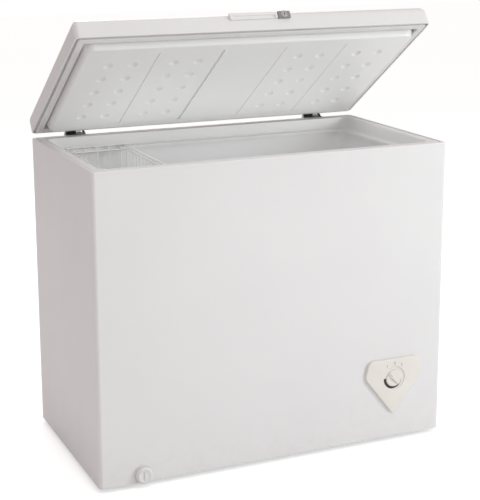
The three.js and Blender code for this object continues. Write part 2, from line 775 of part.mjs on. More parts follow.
function drainPlug() {
  const at = (z) => point(DRAIN.x, DRAIN_FLOOR_Y, z);
  const seat = FLOOR_Z + GAP;
  return join(
    rod(at(seat - 14), at(seat + 1), DRAIN_BORE - 0.8, 12),
    rod(at(seat), at(seat + 4), 16, 16),
    box(DRAIN.x - 8, DRAIN.x + 8, DRAIN_FLOOR_Y - 1.5, DRAIN_FLOOR_Y + 1.5, seat + 3, seat + 14),
  );
}

// ---- Lid ----
// The round of the upper edge: inset and drop below the lid's top.
const EDGE_ROUND = [
  [0, LID_THICKNESS],
  [0, 25],
  [1.5, 17],
  [5, 10],
  [11, 4.5],
  [20, 1],
  [30, 0],
];

function lidSkin() {
  const level = ([inset, drop], inner) => {
    const share = 1 - drop / LID_THICKNESS;
    const z = LID_Z + share * (LID_THICKNESS - inner);
    return [inset + inner, z];
  };
  const outer = stack(lidOutline, EDGE_ROUND.map((each) => level(each, 0)));
  const hollow = EDGE_ROUND.map((each) => level(each, LID_SKIN));
  hollow[0][1] = LID_Z + LID_SKIN;
  return cut(
    outer,
    stack(lidOutline, hollow),
    slab(lidOutline(LID_HEM), LID_Z - 1, LID_Z + 2 * LID_SKIN),
    rod(
      point(LOCK_X, -HALF_D - 5, LID_Z + LOCK_Z),
      point(LOCK_X, -HALF_D + 14, LID_Z + LOCK_Z),
      LOCK_RADIUS + 1,
    ),
  );
}

const lockPocket = () =>
  box(
    LOCK_X - 16,
    LOCK_X + CAM_LENGTH + 10,
    -HALF_D,
    camBack + 2,
    RIM_Z,
    LID_Z + LOCK_Z + 12,
  );

function lidFoam() {
  const margin = LID_SKIN + 0.8;
  const base = CHANNEL_Z + 2 + GAP;
  const levels = EDGE_ROUND.filter(([, drop]) => LID_THICKNESS - drop > GASKET_RECESS + 4);
  const top = LID_Z + LID_THICKNESS - margin;
  const body = levels.map(([inset, drop]) => [inset + margin, top - drop]);
  const plugInset = PLUG_EDGE + 4;
  const above = PANEL_Z + PANEL_THICKNESS + GAP;
  return cut(
    join(
      stack(lidOutline, [[margin, base], ...body]),
      slab(roundedRectangle(HALF_W - plugInset, HALF_D - plugInset, 14), above, base + 1),
    ),
    lockPocket(),
  );
}

function dimpleCentres() {
  const centres = [];
  for (const band of [-2, -1, 1, 2])
    for (const column of [-0.5, 0.5])
      for (let row = 0; row < DIMPLE_ROWS; row++)
        centres.push([
          band * BAND_WIDTH + column * DIMPLE_COLUMN_PITCH,
          (row - (DIMPLE_ROWS - 1) / 2) * DIMPLE_ROW_PITCH,
        ]);
  return centres;
}

function lidLiner() {
  const plugOutline = (inset) => roundedRectangle(HALF_W - inset, HALF_D - inset, 20);
  const channel = slab(lidOutline(LID_SKIN + GAP), CHANNEL_Z, CHANNEL_Z + 2);
  const plug = stack(plugOutline, [
    [PLUG_EDGE + 2, PANEL_Z],
    [PLUG_EDGE - 1, PANEL_Z + 2.5],
    [PLUG_INSET, CHANNEL_Z + 1],
  ]);
  const hollow = stack(plugOutline, [
    [PLUG_EDGE + 2, PANEL_Z + PANEL_THICKNESS],
    [PLUG_INSET + 2, CHANNEL_Z + 3],
  ]);
  const dimples = dimpleCentres().map(([x, y]) =>
    rod(point(x, y, PANEL_Z - 1), point(x, y, PANEL_Z + DIMPLE_DEPTH), DIMPLE_RADIUS, 8),
  );
  const reach = HALF_D - PLUG_EDGE - 27;
  const sunk = (x, width) =>
    box(x - width / 2, x + width / 2, -reach, reach, PANEL_Z - 1, PANEL_Z + GROOVE_DEPTH);
  const grooves = [-1.5, 1.5].map((band) => sunk(band * BAND_WIDTH, GROOVE_WIDTH));
  const sunkBand = sunk(0, BAND_WIDTH);
  return cut(join(channel, plug), hollow, lockPocket(), sunkBand, ...grooves, ...dimples);
}

function lidGasket() {
  const inner = GASKET_OUTER + GASKET_WIDTH;
  const bottom = RIM_Z - LAND_DROP + GAP + 0.5;
  return cut(
    slab(lidOutline(GASKET_OUTER), bottom, CHANNEL_Z - GAP),
    slab(lidOutline(inner), bottom - 1, CHANNEL_Z + 1),
  );
}

function lidHandle() {
  const left = GRIP_CENTRE_X - GRIP_WIDTH / 2;
  const right = GRIP_CENTRE_X + GRIP_WIDTH / 2;
  const z = LID_Z + LID_THICKNESS - GRIP_DROP;
  const back = -HALF_D - GAP;
  const bar = box(left, right, back - GRIP_PROUD, back, z, z + GRIP_HEIGHT);
  const scoop = box(left + 6, right - 6, back - GRIP_PROUD - 1, back - 2, z - 1, z + 9);
  return cut(bar, scoop);
}

const LOCK_PROUD = 7;

function lockHousing() {
  const back = -HALF_D - GAP;
  const z = LID_Z + LOCK_Z;
  const half = LOCK_HOUSING / 2;
  return cut(
    box(LOCK_X - half + 0.8, LOCK_X + half, back - LOCK_PROUD, back, z - 11, z + 10),
    rod(point(LOCK_X, back - 10, z), point(LOCK_X, back + 1, z), LOCK_RADIUS + 0.4),
  );
}

function lockCylinder() {
  const z = LID_Z + LOCK_Z;
  const front = -HALF_D - GAP - LOCK_PROUD - 1;
  const keyway = box(LOCK_X - 1, LOCK_X + 1, front - 1, front + 6, z - 4, z + 4);
  return cut(
    rod(point(LOCK_X, front, z), point(LOCK_X, camFront - GAP, z), LOCK_RADIUS, 20),
    keyway,
  );
}

// Unlocked, the hooked cam lies along +X; a quarter turn swings it down through the rim.
function lockCam() {
  const z = LID_Z + LOCK_Z;
  const half = CAM_WIDTH / 2;
  const tip = LOCK_X + CAM_LENGTH;
  return join(
    box(LOCK_X - half, tip, camFront, camBack, z - half, z + half),
    box(tip - 5, tip, camFront, camBack, z - CAM_TOE, z),
  );
}

// ---- Hinges ----
const CHEEK_TOP = 8.5; // radius of the cheeks about the pin

function hingeBase(x) {
  const half = HINGE_WIDTH / 2;
  const back = HALF_D + GAP;
  const plate = box(x - half, x + half, back, back + 3, RIM_Z - HINGE_HEIGHT, RIM_Z + 1.8);
  const lip = box(x - half, x + half, HALF_D - HINGE_LIP, back + 1, RIM_Z + GAP, RIM_Z + 1.8);
  const cheeks = [-1, 1].map((side) => {
    const outer = x + side * half;
    const inner = outer - side * HINGE_CHEEK;
    const [x0, x1] = [Math.min(outer, inner), Math.max(outer, inner)];
    const low = RIM_Z - HINGE_HEIGHT + 20;
    return join(
      box(x0, x1, back + 1, HALF_D + HINGE_REACH, low, RIM_Z - 6),
      box(x0, x1, back + 1, PIVOT.y + CHEEK_TOP, RIM_Z - 7, RIM_Z),
      rod(point(x0, PIVOT.y, RIM_Z), point(x1, PIVOT.y, RIM_Z), CHEEK_TOP, 16),
    );
  });
  const pinHole = rod(
    point(x - half - 1, PIVOT.y, RIM_Z),
    point(x + half + 1, PIVOT.y, RIM_Z),
    PIN_RADIUS + 0.4,
  );
  return cut(join(plate, lip, ...cheeks), pinHole);
}

function hingePin(x) {
  const half = HINGE_WIDTH / 2 + GAP;
  const at = (offset) => point(x + offset, PIVOT.y, RIM_Z);
  return join(
    rod(at(-half - 2), at(half + 2), PIN_RADIUS),
    rod(at(half), at(half + 2.5), PIN_RADIUS + 2),
    rod(at(-half - 2.5), at(-half), PIN_RADIUS + 2),
  );
}

const KNUCKLE_HALF = HINGE_WIDTH / 2 - HINGE_CHEEK - 1.5;

function hingeArm(x) {
  const face = HALF_D + GAP;
  const plateLow = LID_Z + 1;
  const plateHigh = LID_Z + LID_THICKNESS - 8;
  const knuckleRight = x + 2;
  return cut(
    join(
      box(x - KNUCKLE_HALF, x + KNUCKLE_HALF, face, face + HINGE_PLATE, plateLow, plateHigh),
      box(x - KNUCKLE_HALF, knuckleRight, face + 1, PIVOT.y - 3, RIM_Z + 2.5, RIM_Z + 8),
      rod(
        point(x - KNUCKLE_HALF, PIVOT.y, RIM_Z),
        point(knuckleRight, PIVOT.y, RIM_Z),
        BARREL_RADIUS,
        16,
      ),
    ),
    rod(
      point(x - HINGE_WIDTH, PIVOT.y, RIM_Z),
      point(x + HINGE_WIDTH, PIVOT.y, RIM_Z),
      PIN_RADIUS + 0.4,
    ),
  );
}

// Torsion spring on the pin, with one leg down the back plate.
function hingeSpring(x) {
  const turns = 4;
  const steps = 10;
  const wire = 2;
  const radius = PIN_RADIUS + 2;
  const left = x + 5;
  const length = KNUCKLE_HALF - 8;
  const points = [point(left, PIVOT.y - radius, RIM_Z - 30)];
  for (let i = 0; i <= turns * steps; i++) {
    const angle = Math.PI - (i / steps) * 2 * Math.PI;
    points.push(
      point(
        left + (length * i) / (turns * steps),
        PIVOT.y + radius * Math.cos(angle),
        RIM_Z + radius * Math.sin(angle),
      ),
    );
  }
  return squareTube(points, wire);
}

// ---- Basket: a rail on the collar's ledge, with flat wire grids below it ----
const BASKET_X = -HALF_W + WALL + BASKET_LEFT;
const BASKET_LENGTH = DEPTH - 2 * WALL - 2 * BASKET_END_GAP;

// A grid of square wires, cut from a plate in rows and columns of holes.
function grid(width, height, columns, rows, wire) {
  const holeWidth = (width - wire * (columns + 1)) / columns;
  const holeHeight = (height - wire * (rows + 1)) / rows;
  const holes = [];
  for (let column = 0; column < columns; column++)
    for (let row = 0; row < rows; row++) {
      const x = wire + column * (holeWidth + wire);
      const y = wire + row * (holeHeight + wire);
      holes.push(box(x, x + holeWidth, y, y + holeHeight, -1, wire + 1));
    }
  return cut(box(0, width, 0, height, 0, wire), ...holes);
}

const railZ = LEDGE_Z + GAP;
const basketBottom = railZ - BASKET_HEIGHT;
const gridHeight = BASKET_HEIGHT - BASKET_WIRE - 2 * GAP;
const RAIL_REACH = HALF_D - RIM_LAND - COLLAR_RUN - 6; // the rail's ends lie on the ledge

function basketRail() {
  const right = BASKET_X + BASKET_WIDTH;
  return cut(
    box(BASKET_X, right, -RAIL_REACH, RAIL_REACH, railZ, railZ + BASKET_RAIL),
    box(
      BASKET_X + BASKET_RAIL,
      right - BASKET_RAIL,
      -RAIL_REACH + BASKET_RAIL,
      RAIL_REACH - BASKET_RAIL,
      railZ - 1,
      railZ + BASKET_RAIL + 1,
    ),
  );
}

function basketSide(x) {
  const plate = grid(BASKET_LENGTH, gridHeight, 8, 3, BASKET_WIRE);
  plate.rotateX(Math.PI / 2).rotateZ(Math.PI / 2);
  return plate.translate(x, -BASKET_LENGTH / 2, basketBottom + BASKET_WIRE + GAP);
}

function basketEnd(y) {
  const width = BASKET_WIDTH - 2 * BASKET_WIRE - 2 * GAP - 2;
  const plate = grid(width, gridHeight, 4, 3, BASKET_WIRE);
  plate.rotateX(Math.PI / 2);
  const x = BASKET_X + BASKET_WIRE + GAP + 1;
  return plate.translate(x, y + BASKET_WIRE, basketBottom + BASKET_WIRE + GAP);
}

function basketFloor() {
  const plate = grid(BASKET_WIDTH - 2, BASKET_LENGTH, 4, 8, BASKET_WIRE);
  return plate.translate(BASKET_X + 1, -BASKET_LENGTH / 2, basketBottom);
}

// ---- Everything in its place ----
place("outer_wrap", outerWrap(), WHITE_STEEL);
place("rear_panel", rearPanel(), WHITE_STEEL);
place("base_pan", basePan(), ZINC);
place("rim_trim", rimTrim(), WHITE_PLASTIC);
place("inner_liner", innerLiner(), WHITE_STEEL);
place("insulation_front", frontFoam(), FOAM);
place("insulation_rear", rearFoam(), FOAM);
place("insulation_left", sideFoam(-FAR, -innerX), FOAM);
place("insulation_right", rightFoam(), FOAM);
place("insulation_floor", floorFoam(), FOAM);
place("insulation_step", stepFoam(), FOAM);
place("lock_keeper", lockKeeper(), ZINC);
place("evaporator_tube", evaporator(), ZINC);
place("condenser_tube", condenser(), ZINC);
place("compressor", compressor(), BLACK_STEEL);
place("compressor_plate", compressorPlate(), ZINC);
place("relay_cover", relayCover(), BLACK_PLASTIC);
place("suction_pipe", suctionPipe(), COPPER);
place("discharge_pipe", dischargePipe(), COPPER);
place("filter_drier", filterDrier(), COPPER);
place("side_grille", sideGrille(), WHITE_PLASTIC);
place("rear_cover", rearCover(), ZINC);
place("cable_gland", cableGland(), BLACK_PLASTIC);
place("thermostat", thermostat(), GREY_PLASTIC);
place("control_bezel", controlBezel(), CREAM_PLASTIC);
place("control_knob", controlKnob(), CREAM_PLASTIC);
place("drain_tube", drainTube(), GREY_PLASTIC);
place("drain_cap", drainCap(), WHITE_PLASTIC);
place("drain_plug", drainPlug(), WHITE_PLASTIC);

for (const [side, sign] of [["left", -1], ["right", 1]]) {
  for (const [end, way] of [["front", -1], ["rear", 1]]) {
    const x = sign * (HALF_W - FOOT_INSET);
    const y = way * (HALF_D - FOOT_INSET);
    const foot = new THREE.CylinderGeometry(FOOT_RADIUS, FOOT_RADIUS - 3, BASE_Z - GAP, 16);
    foot.rotateX(Math.PI / 2).translate(x, y, (BASE_Z - GAP) / 2);
    place(`foot_${end}_${side}`, foot, RUBBER);
    const mountX = COMPRESSOR.x + sign * (PLATE.halfX - 16);
    const mountY = COMPRESSOR.y + way * (PLATE.halfY - 16);
    const low = point(mountX, mountY, PAN_TOP + GAP);
    const grommet = rod(low, point(mountX, mountY, PLATE_Z - GAP), 11, 12);
    place(`compressor_mount_${end}_${side}`, grommet, RUBBER);
  }
  const hingeX = sign * (HALF_W - HINGE_FROM_SIDE);
  place(`hinge_base_${side}`, hingeBase(hingeX), BLACK_STEEL);
  place(`hinge_pin_${side}`, hingePin(hingeX), ZINC);
  place(`hinge_spring_${side}`, hingeSpring(hingeX), ZINC);
  placeOnLid(`hinge_arm_${side}`, hingeArm(hingeX), BLACK_STEEL);
}

placeOnLid("lid_skin", lidSkin(), WHITE_STEEL);
placeOnLid("lid_insulation", lidFoam(), FOAM);
placeOnLid("lid_liner", lidLiner(), WHITE_PLASTIC);
placeOnLid("lid_gasket", lidGasket(), GASKET_RUBBER);
placeOnLid("lid_handle", lidHandle(), WHITE_PLASTIC);
placeOnLid("lock_housing", lockHousing(), GREY_PLASTIC);
placeOnLid("lock_cylinder", lockCylinder(), ZINC);
placeOnLid("lock_cam", lockCam(), ZINC);

place("basket_rail", basketRail(), COATED_WIRE);
place("basket_side_left", basketSide(BASKET_X), COATED_WIRE);
place("basket_side_right", basketSide(BASKET_X + BASKET_WIDTH - BASKET_WIRE), COATED_WIRE);
place("basket_end_front", basketEnd(-BASKET_LENGTH / 2), COATED_WIRE);
place("basket_end_rear", basketEnd(BASKET_LENGTH / 2 - BASKET_WIRE), COATED_WIRE);
place("basket_floor", basketFloor(), COATED_WIRE);

// The part's origin is under the middle of its whole box, lid open, to a tenth of a millimetre.
const whole = new THREE.Box3().setFromObject(assembly, true);
assembly.position.y = -Math.round(5 * (whole.min.y + whole.max.y)) / 10;

const freezer = new THREE.Group();
freezer.add(assembly);
export default freezer;
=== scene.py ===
"""Chest freezer, lid standing open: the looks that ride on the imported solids.

Shapes are drawn in millimetres in the frame's own directions, and turned to metres as each
piece is finished. Lid pieces are drawn shut and then turned open about the hinge.
"""

import json
from math import atan2, cos, pi, radians, sin

import bmesh
import bpy
from mathutils import Matrix, Vector


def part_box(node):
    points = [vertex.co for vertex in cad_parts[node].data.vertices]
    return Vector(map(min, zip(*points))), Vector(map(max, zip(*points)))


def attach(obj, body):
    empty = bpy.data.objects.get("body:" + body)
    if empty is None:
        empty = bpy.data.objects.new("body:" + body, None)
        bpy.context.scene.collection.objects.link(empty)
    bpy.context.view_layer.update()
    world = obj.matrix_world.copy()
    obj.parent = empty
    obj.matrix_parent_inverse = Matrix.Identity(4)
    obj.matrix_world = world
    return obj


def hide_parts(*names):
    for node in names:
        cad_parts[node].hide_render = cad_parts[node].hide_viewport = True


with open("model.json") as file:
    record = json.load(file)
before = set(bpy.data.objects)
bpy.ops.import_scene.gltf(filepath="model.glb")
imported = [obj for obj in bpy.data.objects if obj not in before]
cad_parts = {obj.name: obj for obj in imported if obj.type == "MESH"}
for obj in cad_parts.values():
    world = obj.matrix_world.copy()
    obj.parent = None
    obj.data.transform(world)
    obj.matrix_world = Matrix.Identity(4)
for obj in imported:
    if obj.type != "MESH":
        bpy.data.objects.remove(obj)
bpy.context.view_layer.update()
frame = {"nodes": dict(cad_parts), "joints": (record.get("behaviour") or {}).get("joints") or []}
scene = bpy.context.scene

MM = 1000.0  # millimetres in a metre


def box_of(node):
    low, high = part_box(node)
    return low * MM, high * MM


def middle_of(node):
    low, high = box_of(node)
    return (low + high) / 2


# ---- Places taken from the frame ----
wrap_low, wrap_high = box_of("outer_wrap")
HALF_W = wrap_high.x
HALF_D = (wrap_high.y - wrap_low.y) / 2
MID_Y = (wrap_high.y + wrap_low.y) / 2
FRONT, BACK = wrap_low.y, wrap_high.y
BASE, RIM = wrap_low.z, wrap_high.z
COLLAR_LIP = 10
LEDGE = box_of("rim_trim")[0].z + COLLAR_LIP
liner_low, liner_high = box_of("inner_liner")
LINER_INSET = HALF_W - liner_high.x + 1
step_low, step_high = box_of("insulation_step")
STEP_X, STEP_Z = step_low.x - 1.3, step_high.z + 1.3
LID_GAP, LID_HIGH = 3, 55
LID_EDGE = RIM + LID_GAP
LID_TOP = LID_EDGE + LID_HIGH
LOCK_X, LOCK_Z = 62, LID_TOP - 17
GASKET_SEAT = LID_EDGE + 14
PANEL_FACE = GASKET_SEAT - 30
lid_joint = next(j for j in frame["joints"] if j["name"] == "lid_hinge")
PIVOT = Vector(lid_joint["pos_m"]) * MM
LID_OPEN = radians(-lid_joint["range_deg"][0])
LID_TURN = (
    Matrix.Translation(PIVOT) @ Matrix.Rotation(-LID_OPEN, 4, "X") @ Matrix.Translation(-PIVOT)
)


# ---- Shader groups ----
KINDS = {
    "Vector": "NodeSocketVector", "Colour": "NodeSocketColor", "Shade": "NodeSocketColor",
}


def new_group(name, inputs, outputs):
    """A shader group whose sockets are numbers, unless KINDS says otherwise."""
    group = bpy.data.node_groups.new(name, "ShaderNodeTree")
    for way, labels in (("INPUT", inputs), ("OUTPUT", outputs)):
        for label in labels:
            kind = KINDS.get(label, "NodeSocketFloat")
            group.interface.new_socket(label, in_out=way, socket_type=kind)
    tree = Tree(group)
    given, out = tree.add("NodeGroupInput"), tree.add("NodeGroupOutput")
    return group, tree, given.outputs, out.inputs


def fill(node, values):
    for label, value in values.items():
        node.inputs[label].default_value = value


class Tree:
    """Short words for making and joining nodes."""

    def __init__(self, tree):
        self.tree = tree

    def add(self, kind, **settings):
        node = self.tree.nodes.new(kind)
        for key, value in settings.items():
            setattr(node, key, value)
        return node

    def join(self, source, target):
        self.tree.links.new(source, target)

    def noise(self, vector, scale, detail=2.0, rough=0.5):
        node = self.add("ShaderNodeTexNoise")
        self.join(vector, node.inputs["Vector"])
        node.inputs["Detail"].default_value = detail
        node.inputs["Roughness"].default_value = rough
        self.feed(scale, node.inputs["Scale"])
        return node.outputs["Fac"]

    def feed(self, value, socket):
        if isinstance(value, bpy.types.NodeSocket):
            self.join(value, socket)
        else:
            socket.default_value = value

    def math(self, operation, a, b=0.0):
        node = self.add("ShaderNodeMath", operation=operation)
        self.feed(a, node.inputs[0])
        self.feed(b, node.inputs[1])
        return node.outputs[0]

    def span(self, value, low, high, to_low, to_high):
        node = self.add("ShaderNodeMapRange")
        for socket, given in zip(node.inputs, (value, low, high, to_low, to_high)):
            self.feed(given, socket)
        return node.outputs[0]

    def mix(self, share, a, b):
        node = self.add("ShaderNodeMix", data_type="RGBA")
        colours = [s for s in node.inputs if s.type == "RGBA"]
        self.feed(share, node.inputs[0])
        self.feed(a, colours[0])
        self.feed(b, colours[1])
        return next(s for s in node.outputs if s.type == "RGBA")


def make_finish():
    """Slow drift of tone, hand marks in the gloss and a fine grain, for paint and mouldings."""
    group, tree, given, out = new_group(
        "finish",
        [
            "Vector", "Colour", "Shade", "Drift Scale", "Grain Scale", "Ripple Scale",
            "Grain Share", "Gloss Low", "Gloss High",
        ],
        ["Colour", "Roughness", "Height"],
    )
    vector = given["Vector"]
    drift = tree.noise(vector, given["Drift Scale"], 3.0)
    smudge = tree.noise(vector, tree.math("MULTIPLY", given["Drift Scale"], 7.0), 3.0, 0.5)
    grain = tree.noise(vector, given["Grain Scale"], 2.0)
    ripple = tree.noise(vector, given["Ripple Scale"], 1.0)
    tone = tree.span(drift, 0.32, 0.68, 0.0, 1.0)
    speck = tree.span(grain, 0.35, 0.75, 0.0, 0.25)
    blend = tree.math("MINIMUM", tree.math("ADD", tree.math("MULTIPLY", tone, 0.75), speck), 1.0)
    tree.join(tree.mix(blend, given["Colour"], given["Shade"]), out["Colour"])
    gloss = tree.span(smudge, 0.2, 0.8, given["Gloss Low"], given["Gloss High"])
    tree.join(gloss, out["Roughness"])
    share = given["Grain Share"]
    fine = tree.math("MULTIPLY", grain, share)
    broad = tree.math("MULTIPLY", ripple, tree.math("SUBTRACT", 1.0, share))
    tree.join(tree.math("ADD", fine, broad), out["Height"])
    return group


def make_handling():
    """Faint grime that gathers low down and in patches: a mask from 0 to 1."""
    group, tree, given, out = new_group(
        "handling", ["Vector", "Low", "High", "Strength"], ["Mask"]
    )
    vector = given["Vector"]
    split = tree.add("ShaderNodeSeparateXYZ")
    tree.join(vector, split.inputs[0])
    height = tree.span(split.outputs["Z"], given["Low"], given["High"], 1.0, 0.0)
    patches = tree.span(tree.noise(vector, 26.0, 6.0, 0.7), 0.42, 0.7, 0.15, 1.0)
    mask = tree.math("MULTIPLY", tree.math("MULTIPLY", height, patches), given["Strength"])
    tree.join(mask, out["Mask"])
    return group


def make_spangle():
    """The crystal patches and drawn lines of zinc and bare metal."""
    group, tree, given, out = new_group(
        "spangle", ["Vector", "Colour", "Shade", "Patch Scale", "Line Scale"],
        ["Colour", "Roughness", "Height"],
    )
    vector = given["Vector"]
    patch = tree.add("ShaderNodeTexVoronoi")
    tree.join(vector, patch.inputs["Vector"])
    tree.join(given["Patch Scale"], patch.inputs["Scale"])
    split = tree.add("ShaderNodeSeparateColor")
    tree.join(patch.outputs["Color"], split.inputs[0])
    stretch = tree.add("ShaderNodeVectorMath", operation="MULTIPLY")
    tree.join(vector, stretch.inputs[0])
    stretch.inputs[1].default_value = (1.0, 0.08, 1.0)
    lines = tree.noise(stretch.outputs[0], given["Line Scale"], 3.0)
    tone = tree.math("MULTIPLY", tree.math("ADD", split.outputs[0], lines), 0.5)
    tree.join(tree.mix(tone, given["Colour"], given["Shade"]), out["Colour"])
    tree.join(tree.span(tone, 0.2, 0.8, 0.28, 0.5), out["Roughness"])
    tree.join(tree.math("ADD", lines, tree.math("MULTIPLY", tone, 0.4)), out["Height"])
    return group


FINISH, HANDLING, SPANGLE = make_finish(), make_handling(), make_spangle()


def rgba(colour):
    return (*colour, 1.0)


def start_material(name, group):
    material = bpy.data.materials.new(name)
    material.use_nodes = True
    tree = Tree(material.node_tree)
    shader = material.node_tree.nodes["Principled BSDF"]
    place = tree.add("ShaderNodeTexCoord")
    effect = tree.add("ShaderNodeGroup")
    effect.node_tree = group
    tree.join(place.outputs["Object"], effect.inputs["Vector"])
    bump = tree.add("ShaderNodeBump")
    tree.join(effect.outputs["Height"], bump.inputs["Height"])
    tree.join(bump.outputs["Normal"], shader.inputs["Normal"])
    tree.join(effect.outputs["Roughness"], shader.inputs["Roughness"])
    return material, tree, shader, place, effect, bump


def coated(
    name, colour, shade, gloss, drift, grain, relief, share=0.8, ripple=120.0, depth=0.0003,
    coat=0.0, grime=None,
):
    """Paint, enamel, plastic or rubber, from two tones and two roughnesses that drift."""
    material, tree, shader, place, effect, bump = start_material(name, FINISH)
    fill(effect, {
        "Colour": rgba(colour), "Shade": rgba(shade), "Drift Scale": drift, "Grain Scale": grain,
        "Ripple Scale": ripple, "Grain Share": share, "Gloss Low": gloss[0],
        "Gloss High": gloss[1],
    })
    fill(bump, {"Strength": relief, "Distance": depth})
    fill(shader, {"Coat Weight": coat, "Coat Roughness": 0.08})
    colour_out = effect.outputs["Colour"]
    if grime:
        low, high, strength, dirt = grime
        soil = tree.add("ShaderNodeGroup")
        soil.node_tree = HANDLING
        tree.join(place.outputs["Object"], soil.inputs["Vector"])
        fill(soil, {"Low": low, "High": high, "Strength": strength})
        colour_out = tree.mix(soil.outputs["Mask"], colour_out, rgba(dirt))
    tree.join(colour_out, shader.inputs["Base Color"])
    return material


def metal(name, colour, shade, patch, lines):
    """Zinc, copper, aluminium and plain steel."""
    material, tree, shader, _, effect, bump = start_material(name, SPANGLE)
    fill(effect, {
        "Colour": rgba(colour), "Shade": rgba(shade), "Patch Scale": patch, "Line Scale": lines,
    })
    fill(bump, {"Strength": 0.15, "Distance": 0.0002})
    fill(shader, {"Metallic": 1.0})
    tree.join(effect.outputs["Colour"], shader.inputs["Base Color"])
    return material


cabinet_enamel = coated(
    "cabinet_enamel", (0.83, 0.825, 0.825), (0.79, 0.782, 0.785), gloss=(0.3, 0.42), drift=2.2,
    grain=1400, ripple=260, share=0.25, relief=0.10, coat=0.15,
    grime=(0.02, 0.16, 0.16, (0.6, 0.57, 0.53)),
)
# painted shade: the cabinet's white enamel, made darker for the lid
lid_enamel_painted_shade = coated(
    "lid_enamel_painted_shade", (0.80, 0.795, 0.79), (0.76, 0.755, 0.75), gloss=(0.3, 0.42), drift=2.6,
    grain=1400, ripple=260, share=0.25, relief=0.10, coat=0.15,
)
liner_enamel = coated(
    "liner_enamel", (0.87, 0.87, 0.87), (0.83, 0.83, 0.832), gloss=(0.36, 0.5), drift=3.5,
    grain=700, ripple=190, share=0.35, relief=0.14,
)
collar_plastic = coated(
    "collar_plastic", (0.84, 0.835, 0.83), (0.80, 0.79, 0.785), gloss=(0.38, 0.5), drift=5,
    grain=1600, share=0.7, relief=0.12,
)
panel_plastic = coated(
    "panel_plastic", (0.84, 0.845, 0.84), (0.80, 0.805, 0.80), gloss=(0.3, 0.36), drift=4,
    grain=1500, share=0.6, relief=0.08, coat=0.5,
)
seal_vinyl = coated(
    "seal_vinyl", (0.76, 0.75, 0.745), (0.70, 0.69, 0.685), gloss=(0.5, 0.66), drift=9,
    grain=2200, relief=0.2,
)
grip_plastic = coated(
    "grip_plastic", (0.82, 0.81, 0.805), (0.78, 0.77, 0.765), gloss=(0.35, 0.45), drift=12,
    grain=2600, relief=0.15,
)
bezel_cream = coated(
    "bezel_cream", (0.83, 0.805, 0.755), (0.79, 0.76, 0.705), gloss=(0.36, 0.48), drift=11,
    grain=2600, share=0.75, relief=0.14, coat=0.05,
)
knob_cream = coated(
    "knob_cream", (0.83, 0.805, 0.765), (0.79, 0.76, 0.715), gloss=(0.3, 0.42), drift=20,
    grain=3000, relief=0.12, coat=0.1,
)
# painted shadow: near-black for the knob's shadow in the dish
knob_shadow_paint = coated(
    "knob_shadow_paint", (0.02, 0.02, 0.02), (0.05, 0.05, 0.05), gloss=(0.4, 0.6), drift=60,
    grain=3000, share=0.9, relief=0.1,
)
mark_ink = coated(
    "mark_ink", (0.30, 0.29, 0.27), (0.38, 0.36, 0.33), gloss=(0.5, 0.7), drift=60,
    grain=3000, share=0.9, relief=0.1,
)
lock_plastic = coated(
    "lock_plastic", (0.22, 0.215, 0.21), (0.29, 0.28, 0.275), gloss=(0.4, 0.55), drift=20,
    grain=2600, relief=0.2,
)
hinge_black = coated(
    "hinge_black", (0.012, 0.012, 0.013), (0.03, 0.03, 0.031), gloss=(0.35, 0.55), drift=18,
    grain=1800, ripple=500, share=0.5, relief=0.25,
)
wire_coating = coated(
    "wire_coating", (0.90, 0.90, 0.89), (0.86, 0.86, 0.845), gloss=(0.26, 0.4), drift=14,
    grain=1200, ripple=340, share=0.3, relief=0.25, coat=0.25,
)
plug_plastic = coated(
    "plug_plastic", (0.80, 0.795, 0.785), (0.76, 0.75, 0.735), gloss=(0.36, 0.5), drift=18,
    grain=2400, relief=0.2,
)
foot_rubber = coated(
    "foot_rubber", (0.025, 0.025, 0.025), (0.06, 0.058, 0.055), gloss=(0.7, 0.9), drift=20,
    grain=1500, relief=0.35,
)
moulded_black = coated(
    "moulded_black", (0.02, 0.02, 0.022), (0.045, 0.045, 0.047), gloss=(0.45, 0.65), drift=16,
    grain=2000, relief=0.25,
)
moulded_grey = coated(
    "moulded_grey", (0.27, 0.275, 0.28), (0.34, 0.34, 0.345), gloss=(0.42, 0.58), drift=16,
    grain=2000, relief=0.22,
)
compressor_paint = coated(
    "compressor_paint", (0.014, 0.014, 0.015), (0.035, 0.034, 0.033), gloss=(0.22, 0.4),
    drift=10, grain=900, ripple=240, share=0.3, relief=0.3, coat=0.3,
)
foam_block = coated(
    "foam_block", (0.80, 0.69, 0.42), (0.70, 0.58, 0.33), gloss=(0.85, 0.98), drift=12,
    grain=500, ripple=160, share=0.6, relief=0.8, depth=0.0015,
)
zinc_plate = metal("zinc_plate", (0.62, 0.63, 0.64), (0.46, 0.47, 0.48), patch=85, lines=420)
bright_zinc = metal("bright_zinc", (0.70, 0.70, 0.71), (0.52, 0.52, 0.54), patch=400, lines=900)
copper_tube = metal("copper_tube", (0.80, 0.42, 0.27), (0.60, 0.28, 0.17), patch=120, lines=600)
alloy_tube = metal("alloy_tube", (0.74, 0.75, 0.76), (0.60, 0.61, 0.62), patch=160, lines=700)
steel_tube = metal("steel_tube", (0.42, 0.42, 0.43), (0.30, 0.30, 0.31), patch=140, lines=700)


# ---- Making and finishing pieces ----
def as_object(name, bm):
    mesh = bpy.data.meshes.new(name)
    bm.to_mesh(mesh)
    bm.free()
    obj = bpy.data.objects.new(name, mesh)
    scene.collection.objects.link(obj)
    return obj


def carve(obj, cutters, operation="DIFFERENCE"):
    tools = []
    for i, bm in enumerate(cutters):
        bmesh.ops.recalc_face_normals(bm, faces=bm.faces)
        tool = as_object(f"tool_{i}", bm)
        tools.append(tool)
        cutting = obj.modifiers.new(f"cut_{i}", "BOOLEAN")
        cutting.operation = operation
        cutting.solver = "EXACT"
        cutting.object = tool
    graph = bpy.context.evaluated_depsgraph_get()
    mesh = bpy.data.meshes.new_from_object(obj.evaluated_get(graph))
    obj.modifiers.clear()
    obj.data = mesh
    for tool in tools:
        bpy.data.objects.remove(tool)


